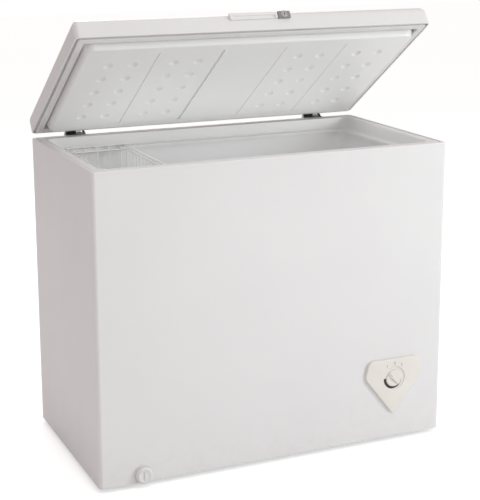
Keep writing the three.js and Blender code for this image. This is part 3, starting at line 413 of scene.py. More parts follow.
def piece(
    name, bm, body, material, stands_for=(), cuts=(), joins=(), crease=38, recalc=True,
):
    """Turns a drawn shape into a finished piece that rides on a body, the lid's turned open."""
    bmesh.ops.remove_doubles(bm, verts=bm.verts, dist=1e-3)
    if recalc:
        bmesh.ops.recalc_face_normals(bm, faces=bm.faces)
    obj = as_object(name, bm)
    if joins:
        carve(obj, joins, "UNION")
    if cuts:
        carve(obj, cuts)
    if body in ("lid", "lock"):
        obj.data.transform(LID_TURN)
    obj.data.transform(Matrix.Scale(1 / MM, 4))
    obj.data.name = name
    obj.data.materials.clear()
    obj.data.materials.append(material)
    obj.data.shade_smooth()
    obj.data.set_sharp_from_angle(angle=radians(crease))
    weights = obj.modifiers.new("weights", "WEIGHTED_NORMAL")
    weights.keep_sharp = True
    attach(obj, body)
    if stands_for:
        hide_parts(*stands_for)
    return obj


# ---- Drawing tools, in millimetres ----
SQUARE = ((1, -1), (1, 1), (-1, 1), (-1, -1))
CORNER_STEPS = 7


def bevel(bm, geom, offset, segments, corners=False):
    """Rounds edges, or the corners of a flat outline."""
    bmesh.ops.bevel(
        bm, geom=list(geom), offset=offset, offset_type="OFFSET", segments=segments, profile=0.5,
        affect="VERTICES" if corners else "EDGES", material=-1,
    )


def pull(bm, faces, way):
    """Extrudes faces along way and gives the new face."""
    made = bmesh.ops.extrude_face_region(bm, geom=faces)["geom"]
    moved = [v for v in made if isinstance(v, bmesh.types.BMVert)]
    bmesh.ops.translate(bm, verts=moved, vec=way)
    return next(f for f in made if isinstance(f, bmesh.types.BMFace))


def ring(bm, inset, radius, z):
    """A loop of edges: the cabinet's outline moved in, with round corners."""
    before = set(bm.edges)
    half_x, half_y = HALF_W - inset, HALF_D - inset
    corners = [bm.verts.new((sx * half_x, MID_Y + sy * half_y, z)) for sx, sy in SQUARE]
    for a, b in zip(corners, corners[1:] + corners[:1]):
        bm.edges.new((a, b))
    bevel(bm, corners, radius, CORNER_STEPS, corners=True)
    return [e for e in bm.edges if e not in before]


def cabinet_ring(bm, inset, z):
    return ring(bm, inset, 10 + 20 * inset / 58, z)


def lid_ring(bm, inset, z):
    return ring(bm, inset, max(14 - inset, 4), z)


def bridge(bm, rings):
    for lower, upper in zip(rings, rings[1:]):
        bmesh.ops.bridge_loops(bm, edges=lower + upper)


def skin(make_ring, levels, closed=False):
    """Bridges one ring to the next, and closes the ends or joins the last to the first."""
    bm = bmesh.new()
    hair = 0.02  # keeps neighbours off one plane, so that they pair up squarely
    rings = [make_ring(bm, inset, z + hair * (i % 2)) for i, (inset, z) in enumerate(levels)]
    bridge(bm, rings + rings[:1] if closed else rings)
    if not closed:
        for end in (rings[0], rings[-1]):
            bmesh.ops.contextual_create(bm, geom=end)
    return bm


def arc(x, z, radius, start, end, steps=5):
    """Points on a round, angles in degrees from +x towards +z."""
    angles = [radians(start + (end - start) * i / steps) for i in range(steps + 1)]
    return [(x + radius * cos(a), z + radius * sin(a)) for a in angles]


def block(low, high, edge=0.0, segments=3, bm=None):
    """A box from corner to corner with rounded edges."""
    bm = bm or bmesh.new()
    low, high = Vector(low), Vector(high)
    size = high - low
    turn = Matrix.Translation((low + high) / 2) @ Matrix.Diagonal((*size, 1))
    made = bmesh.ops.create_cube(bm, size=1, matrix=turn)["verts"]
    if edge:
        bevel(bm, {e for v in made for e in v.link_edges}, edge, segments)
    return bm


def spun(profile, origin, axis, steps=32, bm=None):
    """Turns a profile of (radius, height) about an axis."""
    bm = bm or bmesh.new()
    origin, axis = Vector(origin), Vector(axis).normalized()
    side = axis.orthogonal().normalized()
    verts = [bm.verts.new(origin + side * r + axis * h) for r, h in profile]
    edges = [bm.edges.new(pair) for pair in zip(verts, verts[1:])]
    before = set(bm.verts) - set(verts)
    bmesh.ops.spin(
        bm, geom=verts + edges, cent=origin, axis=axis, angle=2 * pi, steps=steps,
        use_merge=True,
    )
    made = [v for v in bm.verts if v not in before]
    bmesh.ops.remove_doubles(bm, verts=made, dist=1e-3)
    return bm


def rod(start, end, radius, edge=0.5, steps=28, bm=None):
    """A bar with softened rims."""
    length = (Vector(end) - Vector(start)).length
    profile = [(0, 0), (radius - edge, 0)]
    profile += arc(radius - edge, edge, edge, -90, 0, 3)[1:]
    profile += arc(radius - edge, length - edge, edge, 0, 90, 3)
    profile.append((0, length))
    return spun(profile, start, Vector(end) - Vector(start), steps, bm)


def slab(points, thickness, origin, across, up, rounding=0.0, rim=0.0):
    """A flat outline given thickness along across x up, with round corners and front rim."""
    bm = bmesh.new()
    origin, across, up = Vector(origin), Vector(across), Vector(up)
    bm.faces.new([bm.verts.new(origin + across * x + up * y) for x, y in points])
    if rounding:
        bevel(bm, bm.verts, rounding, 5, corners=True)
    face = max(bm.faces, key=lambda f: f.calc_area())
    top = pull(bm, [face], across.cross(up).normalized() * thickness)
    if rim:
        bevel(bm, top.edges, rim, 2)
    return bm


def softened(corners, radius, steps=4):
    """A route with each inner corner turned into a bend."""
    route = [Vector(corners[0])]
    for before, at, after in zip(corners, corners[1:], corners[2:]):
        before, at, after = Vector(before), Vector(at), Vector(after)
        start = at + (before - at).normalized() * radius
        end = at + (after - at).normalized() * radius
        for i in range(steps + 1):
            t = i / steps
            route.append(start * (1 - t) ** 2 + at * 2 * t * (1 - t) + end * t**2)
    route.append(Vector(corners[-1]))
    return route


def wire(bm, route, radius, closed=False, sides=2):
    """A round wire along a route, added to bm."""
    curve = bpy.data.curves.new("wire", "CURVE")
    curve.dimensions = "3D"
    curve.bevel_depth = radius
    curve.bevel_resolution = sides
    curve.use_fill_caps = True
    spline = curve.splines.new("POLY")
    spline.points.add(len(route) - 1)
    for place, at in zip(spline.points, route):
        place.co = (*at, 1)
    spline.use_cyclic_u = closed
    holder = bpy.data.objects.new("wire", curve)
    mesh = bpy.data.meshes.new_from_object(holder)
    bm.from_mesh(mesh)
    bpy.data.objects.remove(holder)
    bpy.data.meshes.remove(mesh)
    bpy.data.curves.remove(curve)
    return bm


def gather(shapes):
    """One drawn shape out of several."""
    bm = bmesh.new()
    for shape in shapes:
        mesh = bpy.data.meshes.new("copy")
        shape.to_mesh(mesh)
        shape.free()
        bm.from_mesh(mesh)
        bpy.data.meshes.remove(mesh)
    return bm


def screw_shape():
    """A pan head with a cross recess, facing +Z, with its seat at z 0."""
    head = spun(
        [(0, -0.5), (3.6, -0.5), (3.6, 0.6), (3.3, 1.3), (2.4, 1.9), (1.2, 2.2), (0, 2.3)],
        (0, 0, 0), (0, 0, 1), 20,
    )
    bmesh.ops.recalc_face_normals(head, faces=head.faces)
    obj = as_object("screw", head)
    carve(obj, [block((-2, -0.4, 1.2), (2, 0.4, 3)), block((-0.4, -2, 1.2), (0.4, 2, 3))])
    mesh = obj.data
    bpy.data.objects.remove(obj)
    return mesh


SCREW = screw_shape()


def screws(name, body, places, normal):
    """Screw heads seated at places, facing along normal."""
    bm = bmesh.new()
    turn = Vector((0, 0, 1)).rotation_difference(Vector(normal)).to_matrix().to_4x4()
    for i, at in enumerate(places):
        spin = Matrix.Rotation(0.7 * i, 4, "Z")
        mesh = SCREW.copy()
        mesh.transform(Matrix.Translation(Vector(at)) @ turn @ spin)
        bm.from_mesh(mesh)
        bpy.data.meshes.remove(mesh)
    return piece(name, bm, body, bright_zinc, recalc=False)


# ---- Cabinet shell ----
def cabinet_shell():
    levels = [(1.0, BASE), (0.3, BASE), (0, BASE + 0.3)]
    levels += [(3 - x, z) for x, z in arc(0, RIM - 3, 3, 0, 90)]
    levels += [(8, RIM), (8.2, RIM - 0.2), (8.2, RIM - 0.8), (8, RIM - 1), (3.2, RIM - 1)]
    levels += [(1.6, RIM - 1.7), (1.0, RIM - 3.2)]
    bm = skin(cabinet_ring, levels, closed=True)
    half = HALF_W - 18
    grille_low, grille_high = box_of("side_grille")
    cap = middle_of("drain_cap")
    cuts = [
        block((-half, BACK - 9, BASE - 5), (half, BACK + 5, RIM + 5)),
        block((-half, BACK - 18, RIM - 1.5), (half, BACK + 5, RIM + 5)),
        block(
            (HALF_W - 20, grille_low.y - 0.5, grille_low.z - 0.5),
            (HALF_W + 5, grille_high.y + 0.5, grille_high.z + 0.5),
        ),
        rod((cap.x, FRONT - 5, cap.z), (cap.x, FRONT + 5, cap.z), 12),
        keeper_slot(RIM - 3, RIM + 3),
    ]
    piece("cabinet_shell", bm, "cabinet", cabinet_enamel, ["outer_wrap"], cuts)


def keeper_slot(z0, z1):
    """The slot in the rim that the lock's hook drops into."""
    return block((LOCK_X - 5, FRONT + 5.3, z0), (LOCK_X + 42, FRONT + 8.7, z1))


def rear_sheet():
    low, high = box_of("rear_panel")
    outer, inner = high.y, high.y - 1
    profile = [(low.y, RIM - 1), (low.y, RIM)]
    profile += [(inner - 2 + x, z) for x, z in arc(0, RIM - 3, 3, 90, 0, 4)]
    profile += [(outer, BASE), (inner, BASE)]
    profile += [(inner - 2 + x, z) for x, z in arc(0, RIM - 3, 2, 0, 90, 4)]
    sheet = bmesh.new()
    face = sheet.faces.new([sheet.verts.new((low.x, y, z)) for y, z in profile])
    pull(sheet, [face], (high.x - low.x, 0, 0))
    beads = [
        block((-390, outer - 0.8, z - 9), (390, outer + 1.6, z + 9), edge=1.1)
        for z in (380, 460, 540)
    ]
    cover_low, cover_high = box_of("rear_cover")
    opening = block(
        (cover_low.x + 9, low.y - 5, cover_low.z + 9),
        (cover_high.x - 9, outer + 5, cover_high.z - 9),
    )
    stands_for = ["rear_panel"]
    piece(
        "rear_sheet", sheet, "cabinet", cabinet_enamel, stands_for, [opening], beads
    )
    edge = low.x + 7
    rivets = [(side * edge, outer, z) for side in (-1, 1) for z in (60, 240, 420, 600, 740)]
    screws("rear_sheet_screws", "cabinet", rivets, (0, 1, 0))


def rim_collar():
    land = RIM - 0.6
    levels = [(10.4, land - 1.5), (10.4, land - 0.4), (10.8, land), (28.6, land)]
    levels += [(28.6 + x, z) for x, z in arc(0, land - 3, 3, 78, 20, 4)]
    levels += [(38.0, LEDGE + 4.5), (39.0, LEDGE + 1.6), (41.2, LEDGE), (58.2, LEDGE)]
    levels += [(59.6, LEDGE - 0.5), (60.3, LEDGE - 1.9), (60.3, LEDGE - COLLAR_LIP)]
    levels += [(58.3, LEDGE - COLLAR_LIP), (58.3, LEDGE - 2), (39, LEDGE - 2), (28.6, land - 3.5)]
    levels += [(3, land - 3.3), (3, land - 1.7), (10.2, land - 1.7)]
    bm = skin(cabinet_ring, levels, closed=True)
    piece(
        "rim_collar", bm, "cabinet", collar_plastic, ["rim_trim"],
        [keeper_slot(RIM - 7, RIM + 3)],
    )


def liner_tub():
    """The cavity's own shape, open at the top, given a wall on the outside."""
    left, right = -HALF_W + LINER_INSET, HALF_W - LINER_INSET
    floor, top = liner_low.z + 1, liner_high.z
    front, back = FRONT + LINER_INSET, BACK - LINER_INSET
    corners = [
        (left, floor), (STEP_X, floor), (STEP_X, STEP_Z), (right, STEP_Z), (right, top),
        (left, top),
    ]
    bm = bmesh.new()
    face = bm.faces.new([bm.verts.new((x, front, z)) for x, z in corners])
    pull(bm, [face], (0, back - front, 0))
    upright = [
        e for e in bm.edges
        if abs(e.verts[0].co.z - e.verts[1].co.z) > 100 and abs(e.verts[0].co.x - STEP_X) > 1
    ]
    bevel(bm, upright, 30, 8)  # the cavity's upright corners
    bmesh.ops.recalc_face_normals(bm, faces=bm.faces)
    sharp = [
        e for e in bm.edges
        if len(e.link_faces) == 2
        and e.calc_face_angle() > 0.8
        and max(v.co.z for v in e.verts) < top - 1
    ]
    nose = [
        e for e in sharp
        if all(abs(v.co.x - STEP_X) + abs(v.co.z - STEP_Z) < 1 for v in e.verts)
    ]
    bevel(bm, [e for e in sharp if e not in nose], 11, 4)
    bevel(bm, [e for e in nose if e.is_valid], 1.8, 4)  # small, to keep the foam covered
    lids = [f for f in bm.faces if min(v.co.z for v in f.verts) > top - 0.1]
    bmesh.ops.delete(bm, geom=lids, context="FACES")
    bmesh.ops.recalc_face_normals(bm, faces=bm.faces)
    middle = Vector((0, MID_Y, (floor + top) / 2))
    wall = min(bm.faces, key=lambda f: f.calc_center_median().x)
    if wall.normal.dot(middle - wall.calc_center_median()) < 0:
        bmesh.ops.reverse_faces(bm, faces=bm.faces)
    obj = as_object("liner_sheet", bm)
    sheet = obj.modifiers.new("wall", "SOLIDIFY")
    sheet.thickness, sheet.offset, sheet.use_even_offset = 0.9, -1, True
    graph = bpy.context.evaluated_depsgraph_get()
    tub = bmesh.new()
    tub.from_mesh(obj.evaluated_get(graph).to_mesh())
    bpy.data.objects.remove(obj)
    drain = middle_of("drain_plug")
    hole = rod((drain.x, drain.y, floor - 5), (drain.x, drain.y, floor + 5), 10)
    piece(
        "liner_tub", tub, "cabinet", liner_enamel, ["inner_liner"], [hole],
        crease=42,
    )


# ---- Lid ----
EDGE_WIDE, EDGE_HIGH = 30, 25  # the round of the lid's upper edge


def lid_shell():
    sheet = 1.2

    def round_edge(skin_in):
        wide, high = EDGE_WIDE - skin_in, EDGE_HIGH - skin_in
        turns = [radians(90 * i / 10) for i in range(11)]
        foot = LID_TOP - EDGE_HIGH
        return [(EDGE_WIDE - wide * cos(a), foot + high * sin(a)) for a in turns]

    outer = [(3.8, LID_EDGE), (0.5, LID_EDGE), (0.1, LID_EDGE + 0.3), (0, LID_EDGE + 1)]
    outer += round_edge(0)
    inner = round_edge(sheet)[::-1]
    inner += [(sheet, LID_EDGE + sheet + 0.4), (3.8, LID_EDGE + sheet)]
    bm = bmesh.new()
    rings = [lid_ring(bm, inset, z) for inset, z in outer]
    bridge(bm, rings)
    bmesh.ops.contextual_create(bm, geom=rings[-1])
    inside = [lid_ring(bm, inset, z) for inset, z in inner]
    bridge(bm, inside)
    bmesh.ops.contextual_create(bm, geom=inside[0])
    bridge(bm, [inside[-1], rings[0]])
    hole = rod((LOCK_X, FRONT - 5, LOCK_Z), (LOCK_X, FRONT + 14, LOCK_Z), 8.5)
    piece("lid_shell", bm, "lid", lid_enamel_painted_shade, ["lid_skin"], [hole])


PLUG_EDGE, PLUG_CORNER = 36, 22
BAND = (2 * (HALF_W - PLUG_EDGE) - 33) / 5
ROW = (2 * (HALF_D - PLUG_EDGE) - 24) / 6
SUNK_REACH = HALF_D - PLUG_EDGE - 27


def hook_way(z0, z1):
    """Room in the lid's rim for the lock's hook to swing down."""
    return block((LOCK_X - 7, FRONT + 3.6, z0), (LOCK_X + 58, FRONT + 9.4, z1))


def lid_inner_panel():
    seat, face = GASKET_SEAT, PANEL_FACE
    root = 28

    def plug_ring(bm, inset, z):
        return ring(bm, inset, PLUG_CORNER, z)

    levels = [(root + 2, seat + 3), (root - 0.5, seat + 1), (root - 0.5, seat)]
    edge = PLUG_EDGE + 1
    levels += [(root + 1.0, seat - 1.2), (edge - 1.8, face + 4.4)]
    levels += [(edge - 0.5, face + 1.8), (edge + 1.8, face + 0.5), (edge + 4.5, face)]
    bm = skin(plug_ring, levels)
    channel = [(1.6, seat + 1.8), (1.6, seat + 0.2), (1.9, seat)]
    channel += [(root + 6, seat), (root + 6, seat + 1.8)]
    sunk = []
    for edge, width, deep in ((-1.5, 4, 2.2), (-0.5, 7, 4.5), (0.5, 4, 1.4), (1.5, 4, 1.1)):
        low = (edge * BAND - width / 2, MID_Y - SUNK_REACH, face - 4)
        high = (edge * BAND + width / 2, MID_Y + SUNK_REACH, face + deep)
        sunk.append(block(low, high, edge=1.0))
    depth, radius = 4.2, 12.5  # of one dimple
    ball = (radius**2 + depth**2) / (2 * depth)
    for band in (-2, -1, 1, 2):
        balls = bmesh.new()
        for column in (-0.5, 0.5):
            for row in (-2, -1, 0, 1, 2):
                at = (band * BAND + column * 62, MID_Y + row * ROW, face + depth - ball)
                place = Matrix.Translation(at)
                bmesh.ops.create_uvsphere(
                    balls, u_segments=28, v_segments=40, radius=ball, matrix=place
                )
        sunk.append(balls)
    sunk.append(hook_way(seat - 1, seat + 4))
    piece(
        "lid_inner_panel", bm, "lid", panel_plastic, ["lid_liner"], sunk,
        [skin(lid_ring, channel)], crease=32,
    )


def lid_seal():
    """Magnetic strip, bellows and the dart that holds it in its channel."""
    top, bottom = GASKET_SEAT - 0.3, RIM - 0.6 + 0.8
    outer = [(11.6, top), (10.6, top - 1.6), (12.4, top - 4), (10.4, top - 6.6)]
    outer += [(4.8, top - 7.0), (4.4, top - 7.6), (4.8, top - 8.3), (10, top - 9)]
    outer += [(10, bottom + 2), (10.6, bottom + 0.6), (11.8, bottom)]
    inner = [(25.2, bottom), (26.4, bottom + 0.6), (27, bottom + 2), (27, top - 9)]
    inner += [(26.6, top - 6.6), (24.6, top - 4), (26.4, top - 1.6), (25.4, top)]
    bm = skin(lid_ring, outer + inner, closed=True)
    piece(
        "lid_seal", bm, "lid", seal_vinyl, ["lid_gasket"],
        [hook_way(top - 10, top - 6)], crease=50,
    )


def lid_fittings():
    top, z = LID_TOP, LOCK_Z
    back = FRONT - 0.3
    grip_low, grip_high = box_of("lid_handle")
    left, right = grip_low.x, grip_high.x
    bar = block((left, back - 6, top - 26), (right, back, top - 9), edge=2.2, segments=4)
    scoop = block((left + 6, back - 12, top - 34), (right - 6, back - 2, top - 17), edge=2.5)
    piece("lid_grip", bar, "lid", grip_plastic, ["lid_handle"], [scoop])
    plate_low, plate_high = box_of("lock_housing")
    plate = block((plate_low.x, back - 7, z - 10), (plate_high.x, back, z + 9), 2.6, 4)
    piece(
        "lock_plate", plate, "lid", lock_plastic, ["lock_housing"],
        [rod((LOCK_X, back - 10, z), (LOCK_X, back + 2, z), 8.2, 0.1)],
    )
    collar = [(7.8, 0), (9.0, 0), (9.0, 0.4), (8.6, 0.8), (7.8, 0.8), (7.8, 0)]
    piece(
        "lock_collar", spun(collar, (LOCK_X, back - 7, z), (0, -1, 0), 36), "lid", bright_zinc,
    )
    barrel = rod((LOCK_X, FRONT + 5.7, z), (LOCK_X, back - 8, z), 7.5, 0.8, 36)
    key = block((LOCK_X - 0.9, back - 12, z - 4), (LOCK_X + 0.9, back - 3, z + 4), 0.3, 2)
    piece(
        "lock_barrel", barrel, "lock", bright_zinc, ["lock_cylinder"], [key],
    )
    length = box_of("lock_cam")[1].x - LOCK_X
    outline = [(-5, -4), (length - 5, -4), (length - 5, -12), (length, -12), (length, 4), (-5, 4)]
    hook = slab(
        outline, 2, (LOCK_X, FRONT + 8, z), (1, 0, 0), (0, 0, 1), rounding=1.6, rim=0.4
    )
    piece("lock_hook", hook, "lock", bright_zinc, ["lock_cam"])


# ---- Hinges ----
def hinge(side):
    low, high = box_of(f"hinge_base_{side}")
    x = (low.x + high.x) / 2
    half = (high.x - low.x) / 2
    back, foot = BACK + 0.3, low.z

    def crossbar(start, end, *shape):
        return rod((start, PIVOT.y, RIM), (end, PIVOT.y, RIM), *shape)

    parts = [
        block((x - half, back, foot), (x + half, back + 3, RIM + 1.8), 0.9),
        block((x - half, BACK - 9, RIM + 0.3), (x + half, back + 2, RIM + 1.8), 0.6),
    ]
    cheek = [(0.7, foot + 20), (20, foot + 34), (20, RIM - 6)]
    cheek += arc(PIVOT.y - back, RIM, 8.4, -20, 150, 9)
    cheek += [(0.7, RIM - 1)]
    for way in (-1, 1):
        start = x + way * (half - 0.05) - (3 if way > 0 else 0)
        parts.append(
            slab(cheek, 3, (start, back, 0), (0, 1, 0), (0, 0, 1), rim=0.5)
        )
    bore = crossbar(x - half - 5, x + half + 5, 4.3, 0.1, 24)
    piece(
        f"hinge_bracket_{side}", parts[0], "cabinet", hinge_black,
        [f"hinge_base_{side}"], [bore], parts[1:],
    )
    holes = [(x + dx, back + 3, foot + dz) for dx in (-14, 14) for dz in (14, 62, 108)]
    screws(f"hinge_bracket_screws_{side}", "cabinet", holes, (0, 1, 0))
    pin = crossbar(x - half - 2.3, x + half + 2.3, 4, 0.4)
    for way in (-1, 1):
        start = x + way * (half + 0.3)
        crossbar(start, start + way * 2.5, 6, 0.7, 28, pin)
    piece(
        f"hinge_rod_{side}", pin, "cabinet", bright_zinc, [f"hinge_pin_{side}"]
    )
    coil_left, coil_length, radius, turns = x + 5, half - 12.5, 6.0, 4
    route = [Vector((coil_left, PIVOT.y - radius, RIM - 30))]
    for i in range(turns * 16 + 1):
        angle = pi - i / 16 * 2 * pi
        offset = Vector((0, radius * cos(angle), radius * sin(angle)))
        along = Vector((coil_left + coil_length * i / (turns * 16), PIVOT.y, RIM))
        route.append(along + offset)
    piece(
        f"hinge_coil_{side}", wire(bmesh.new(), route, 1.0), "cabinet", bright_zinc,
        [f"hinge_spring_{side}"], recalc=False,
    )
    knuckle = half - 4.5
    plate = block((x - knuckle, back, LID_EDGE + 1), (x + knuckle, back + 2.5, LID_TOP - 8), 0.8)
    web = block((x - knuckle, back + 1, RIM + 2.5), (x + 2, PIVOT.y - 3, RIM + 8), 0.6)
    barrel = crossbar(x - knuckle, x + 2, 7, 0.6)
    tunnel = crossbar(x - half, x + half, 4.3, 0.1, 24)
    piece(
        f"hinge_leaf_{side}", plate, "lid", hinge_black, [f"hinge_arm_{side}"],
        [tunnel], [web, barrel],
    )
    holes = [(x + dx, back + 2.5, LID_EDGE + dz) for dx in (-13, 13) for dz in (16, 38)]
    screws(f"hinge_leaf_screws_{side}", "lid", holes, (0, 1, 0))


# ---- Dial ----
def dial():
    low, high = box_of("control_bezel")
    x, back = (low.x + high.x) / 2, high.y
    thick = high.y - low.y
    knob_low, knob_high = box_of("control_knob")
    z = (knob_low.z + knob_high.z) / 2
    outline = [(84, 8), (72, 52), (-72, 52), (-84, 8), (0, -99)]
    across, up = (1, 0, 0), (0, 0, 1)
    bm = bmesh.new()
    corners = [bm.verts.new((x + px, back, z + pz)) for px, pz in outline]
    bm.faces.new(corners)
    bevel(bm, corners, 13, 8, corners=True)
    face = max(bm.faces, key=lambda f: f.calc_area())
    face = pull(bm, [face], (0, -(thick - 3.4), 0))
    for inset, rise in ((0.5, 0.9), (0.9, 0.7), (1.6, 0.5)):
        bmesh.ops.inset_region(bm, faces=[face], thickness=inset, depth=0, use_even_offset=True)
        bmesh.ops.translate(bm, verts=face.verts, vec=(0, -rise, 0))
    hub = Matrix.Translation((-x, 0, -z))
    for share, rise in ((0.86, 0.5), (0.8, 0.4), (0.72, 0.25), (0.5, 0.15)):
        crown = pull(bm, [face], (0, -rise, 0))
        bmesh.ops.delete(bm, geom=[face], context="FACES_ONLY")
        face = crown
        bmesh.ops.scale(bm, vec=(share, 1, share), space=hub, verts=list(face.verts))
    front_y = back - thick
    dish = [(0, -2), (33.5, -2), (32, 0.5), (30.6, 2.2), (29.6, 2.8), (0, 2.8)]
    piece(
        "dial_bezel", bm, "cabinet", bezel_cream, ["control_bezel"],
        [
            spun(dish, (x, front_y, z), (0, 1, 0), 64),
            rod((x, front_y - 2, z), (x, back + 5, z), 4.6, 0.1, 24),
        ],
        crease=36,
    )
    # a black band painted in the dish where the knob's shadow falls
    crescent(x, front_y + 2.7, z)
    knob_front, knob_back = knob_low.y, knob_high.y
    tall = knob_back - knob_front
    profile = [(0, 0), (21, 0), (22, 1), (22, tall - 6), (21.4, tall - 4.8), (19.6, tall - 4.2)]
    profile += [(12, tall - 4.6), (0, tall - 4.9)]
    disc = spun(profile, (x, knob_back, z), (0, -1, 0), 64)
    lean = Matrix.Translation((x, 0, z)) @ Matrix.Rotation(-radians(45), 4, "Y")
    bar = block((-4, knob_front, -19.5), (4, knob_front + 7, 19.5), 1.6, 4)
    bar.transform(lean)
    line = block((-0.7, knob_front - 1, 10), (0.7, knob_front + 0.4, 18))
    line.transform(lean)
    socket = rod((x, knob_back + 2, z), (x, knob_front + 3, z), 3.4, 0.1, 24)
    piece(
        "dial_knob", disc, "knob", knob_cream, ["control_knob"], [line, socket],
        [bar],
    )
    pointer = block((-0.6, knob_front + 0.15, 10.2), (0.6, knob_front + 0.4, 17.8), 0.1, 2)
    pointer.transform(lean)
    piece("dial_pointer", pointer, "knob", mark_ink)
    surface = front_y + 0.8
    marks = bmesh.new()
    for label, angle in (("1", -31), ("2", 2), ("3", 33)):
        turn = radians(angle)
        at = Vector((x + 40 * sin(turn), surface, z + 40 * cos(turn)))
        text = bpy.data.curves.new("digit", "FONT")
        text.body, text.size, text.extrude = label, 11, 0.5
        text.align_x, text.align_y = "CENTER", "CENTER"
        holder = bpy.data.objects.new("digit", text)
        mesh = bpy.data.meshes.new_from_object(holder)
        mesh.transform(Matrix.Translation(at) @ Matrix.Rotation(pi / 2, 4, "X"))
        marks.from_mesh(mesh)
        bpy.data.objects.remove(holder)
        bpy.data.meshes.remove(mesh)
    piece("dial_marks", marks, "cabinet", mark_ink, recalc=False)


def crescent(x, y, z):
    """Painted shadow of the knob: a black band in the dish, wide at the left, that narrows as it
    goes round under the knob.
    """
    start, sweep, steps = radians(176), radians(178), 48
    bm = bmesh.new()
    inner = bm.verts.new((x + 22.6 * cos(start), y, z + 22.6 * sin(start)))
    outer = bm.verts.new((x + 29.2 * cos(start), y, z + 29.2 * sin(start)))
    edge = bm.edges.new((inner, outer))
    bmesh.ops.spin(
        bm, geom=[inner, outer, edge], cent=(x, y, z), axis=(0, -1, 0), angle=sweep, steps=steps
    )
    for v in bm.verts:
        reach = Vector((v.co.x - x, v.co.z - z))
        if reach.length > 25:
            turned = (atan2(reach.y, reach.x) - start) % (2 * pi)
            share = min(turned / sweep, 1)
            # the painted shadow is widest at the start and narrows towards the end of the sweep
            width = 5.8 * (1 - max(share - 0.4, 0) / 0.6) + 0.6
            reach = reach.normalized() * (22.6 + width)
            v.co.x, v.co.z = x + reach.x, z + reach.y
    pull(bm, list(bm.faces), (0, -0.35, 0))
    piece("dial_painted_shadow", bm, "cabinet", knob_shadow_paint)


# ---- Drain ----
def drain():
    low, high = box_of("drain_cap")
    centre = (low + high) / 2
    depth = high.y - low.y
    seat = (centre.x, high.y, centre.z)
    profile = [(0, depth - 2.2), (9, depth - 2.2), (11.5, depth - 1.6), (13, depth - 0.5)]
    profile += [(14.2, depth - 0.1), (16, depth), (17.2, depth - 0.5), (17.8, depth - 1.6)]
    profile += [(18.2, depth - 2.6), (20, depth - 3.4), (21, depth - 4.6), (21, 0.6), (20.4, 0)]
    profile += [(11.2, 0), (11.2, 9), (0, 9)]
    cap = spun(profile, seat, (0, -1, 0), 48)
    flutes = []
    hub = Matrix.Translation((centre.x, 0, centre.z))
    for i in range(24):  # grip flutes round the rim
        turn = hub @ Matrix.Rotation(i * pi / 12, 4, "Y")
        flute = block((-0.9, high.y - depth + 5.4, 20.4), (0.9, high.y - 2, 22))
        flute.transform(turn)
        flutes.append(flute)
    seat_ring = spun(
        [(12.5, 0.1), (24, 0.1), (24, 1.4), (23, 2.2), (12.5, 2.2), (12.5, 0.1)],
        (centre.x, FRONT, centre.z), (0, -1, 0), 48,
    )
    base = block((-500, -300, BASE - 40), (500, 0, BASE + 0.4))
    piece("drain_seat", seat_ring, "cabinet", seal_vinyl, cuts=[base])
    tab = block(
        (centre.x - 2, high.y - depth + 0.1, centre.z - 12.4),
        (centre.x + 2, high.y - depth + 4, centre.z + 12.4), 0.9, 3,
    )
    piece(
        "drain_cap_round", cap, "drain_cap", plug_plastic, ["drain_cap"],
        [gather(flutes)], [tab],
    )
    low, high = box_of("drain_plug")
    at = ((low.x + high.x) / 2, (low.y + high.y) / 2, low.z)
    tall = high.z - low.z
    profile = [(0, 0), (6, 0), (7, 1.4), (7, 6), (6.2, 7), (7, 8), (7, 14), (15.4, 14)]
    profile += [(16, 14.6), (16, 16.6), (15, 17.6), (10, 18), (0, 18)]
    plug = spun(profile, at, (0, 0, 1), 40)
    tab = block(
        (at[0] - 8, at[1] - 1.5, low.z + 16), (at[0] + 8, at[1] + 1.5, low.z + tall), 1.2, 3
    )
    piece(
        "drain_stopper", plug, "drain_plug", plug_plastic, ["drain_plug"],
        joins=[tab],
    )


# ---- Vents, cover and feet ----
def side_louvre():
    low, high = box_of("side_grille")
    surround = block(low, high, 0.8, 2)
    inner = block(
        (low.x - 2, low.y + 15, low.z + 15), (high.x + 2, high.y - 15, high.z - 15), 2.5, 3
    )
    slats, rows = [], 10
    lean = Matrix.Rotation(radians(24), 4, "Y")
    pitch = (high.z - low.z - 30) / rows
    for row in range(rows):
        z = low.z + 15 + pitch * (row + 0.5)
        slat = block(
            (-0.9, low.y + 14.5, -pitch * 0.52), (0.9, high.y - 14.5, pitch * 0.52), 0.5, 2
        )
        slat.transform(Matrix.Translation(((low.x + high.x) / 2, 0, z)) @ lean)
        slats.append(slat)
    piece(
        "side_louvre", surround, "cabinet", plug_plastic, ["side_grille"], [inner]
    )
    slats = gather(slats)
    flatten = bmesh.ops.bisect_plane(
        slats, geom=slats.verts[:] + slats.edges[:] + slats.faces[:], plane_co=(high.x, 0, 0),
        plane_no=(1, 0, 0), clear_outer=True,
    )["geom_cut"]
    if flatten:
        bmesh.ops.holes_fill(slats, edges=slats.edges[:])
    piece("side_louvre_slats", slats, "cabinet", plug_plastic)
    clips = bmesh.new()
    button = [(0, -1), (3.2, -1), (3.2, 0.1), (2.4, 0.38), (0, 0.4)]
    for y in (low.y + 7.5, high.y - 7.5):
        for z in (low.z + 7.5, high.z - 7.5):
            spun(button, (high.x - 0.4, y, z), (1, 0, 0), 24, clips)
    piece("side_louvre_clips", clips, "cabinet", plug_plastic)


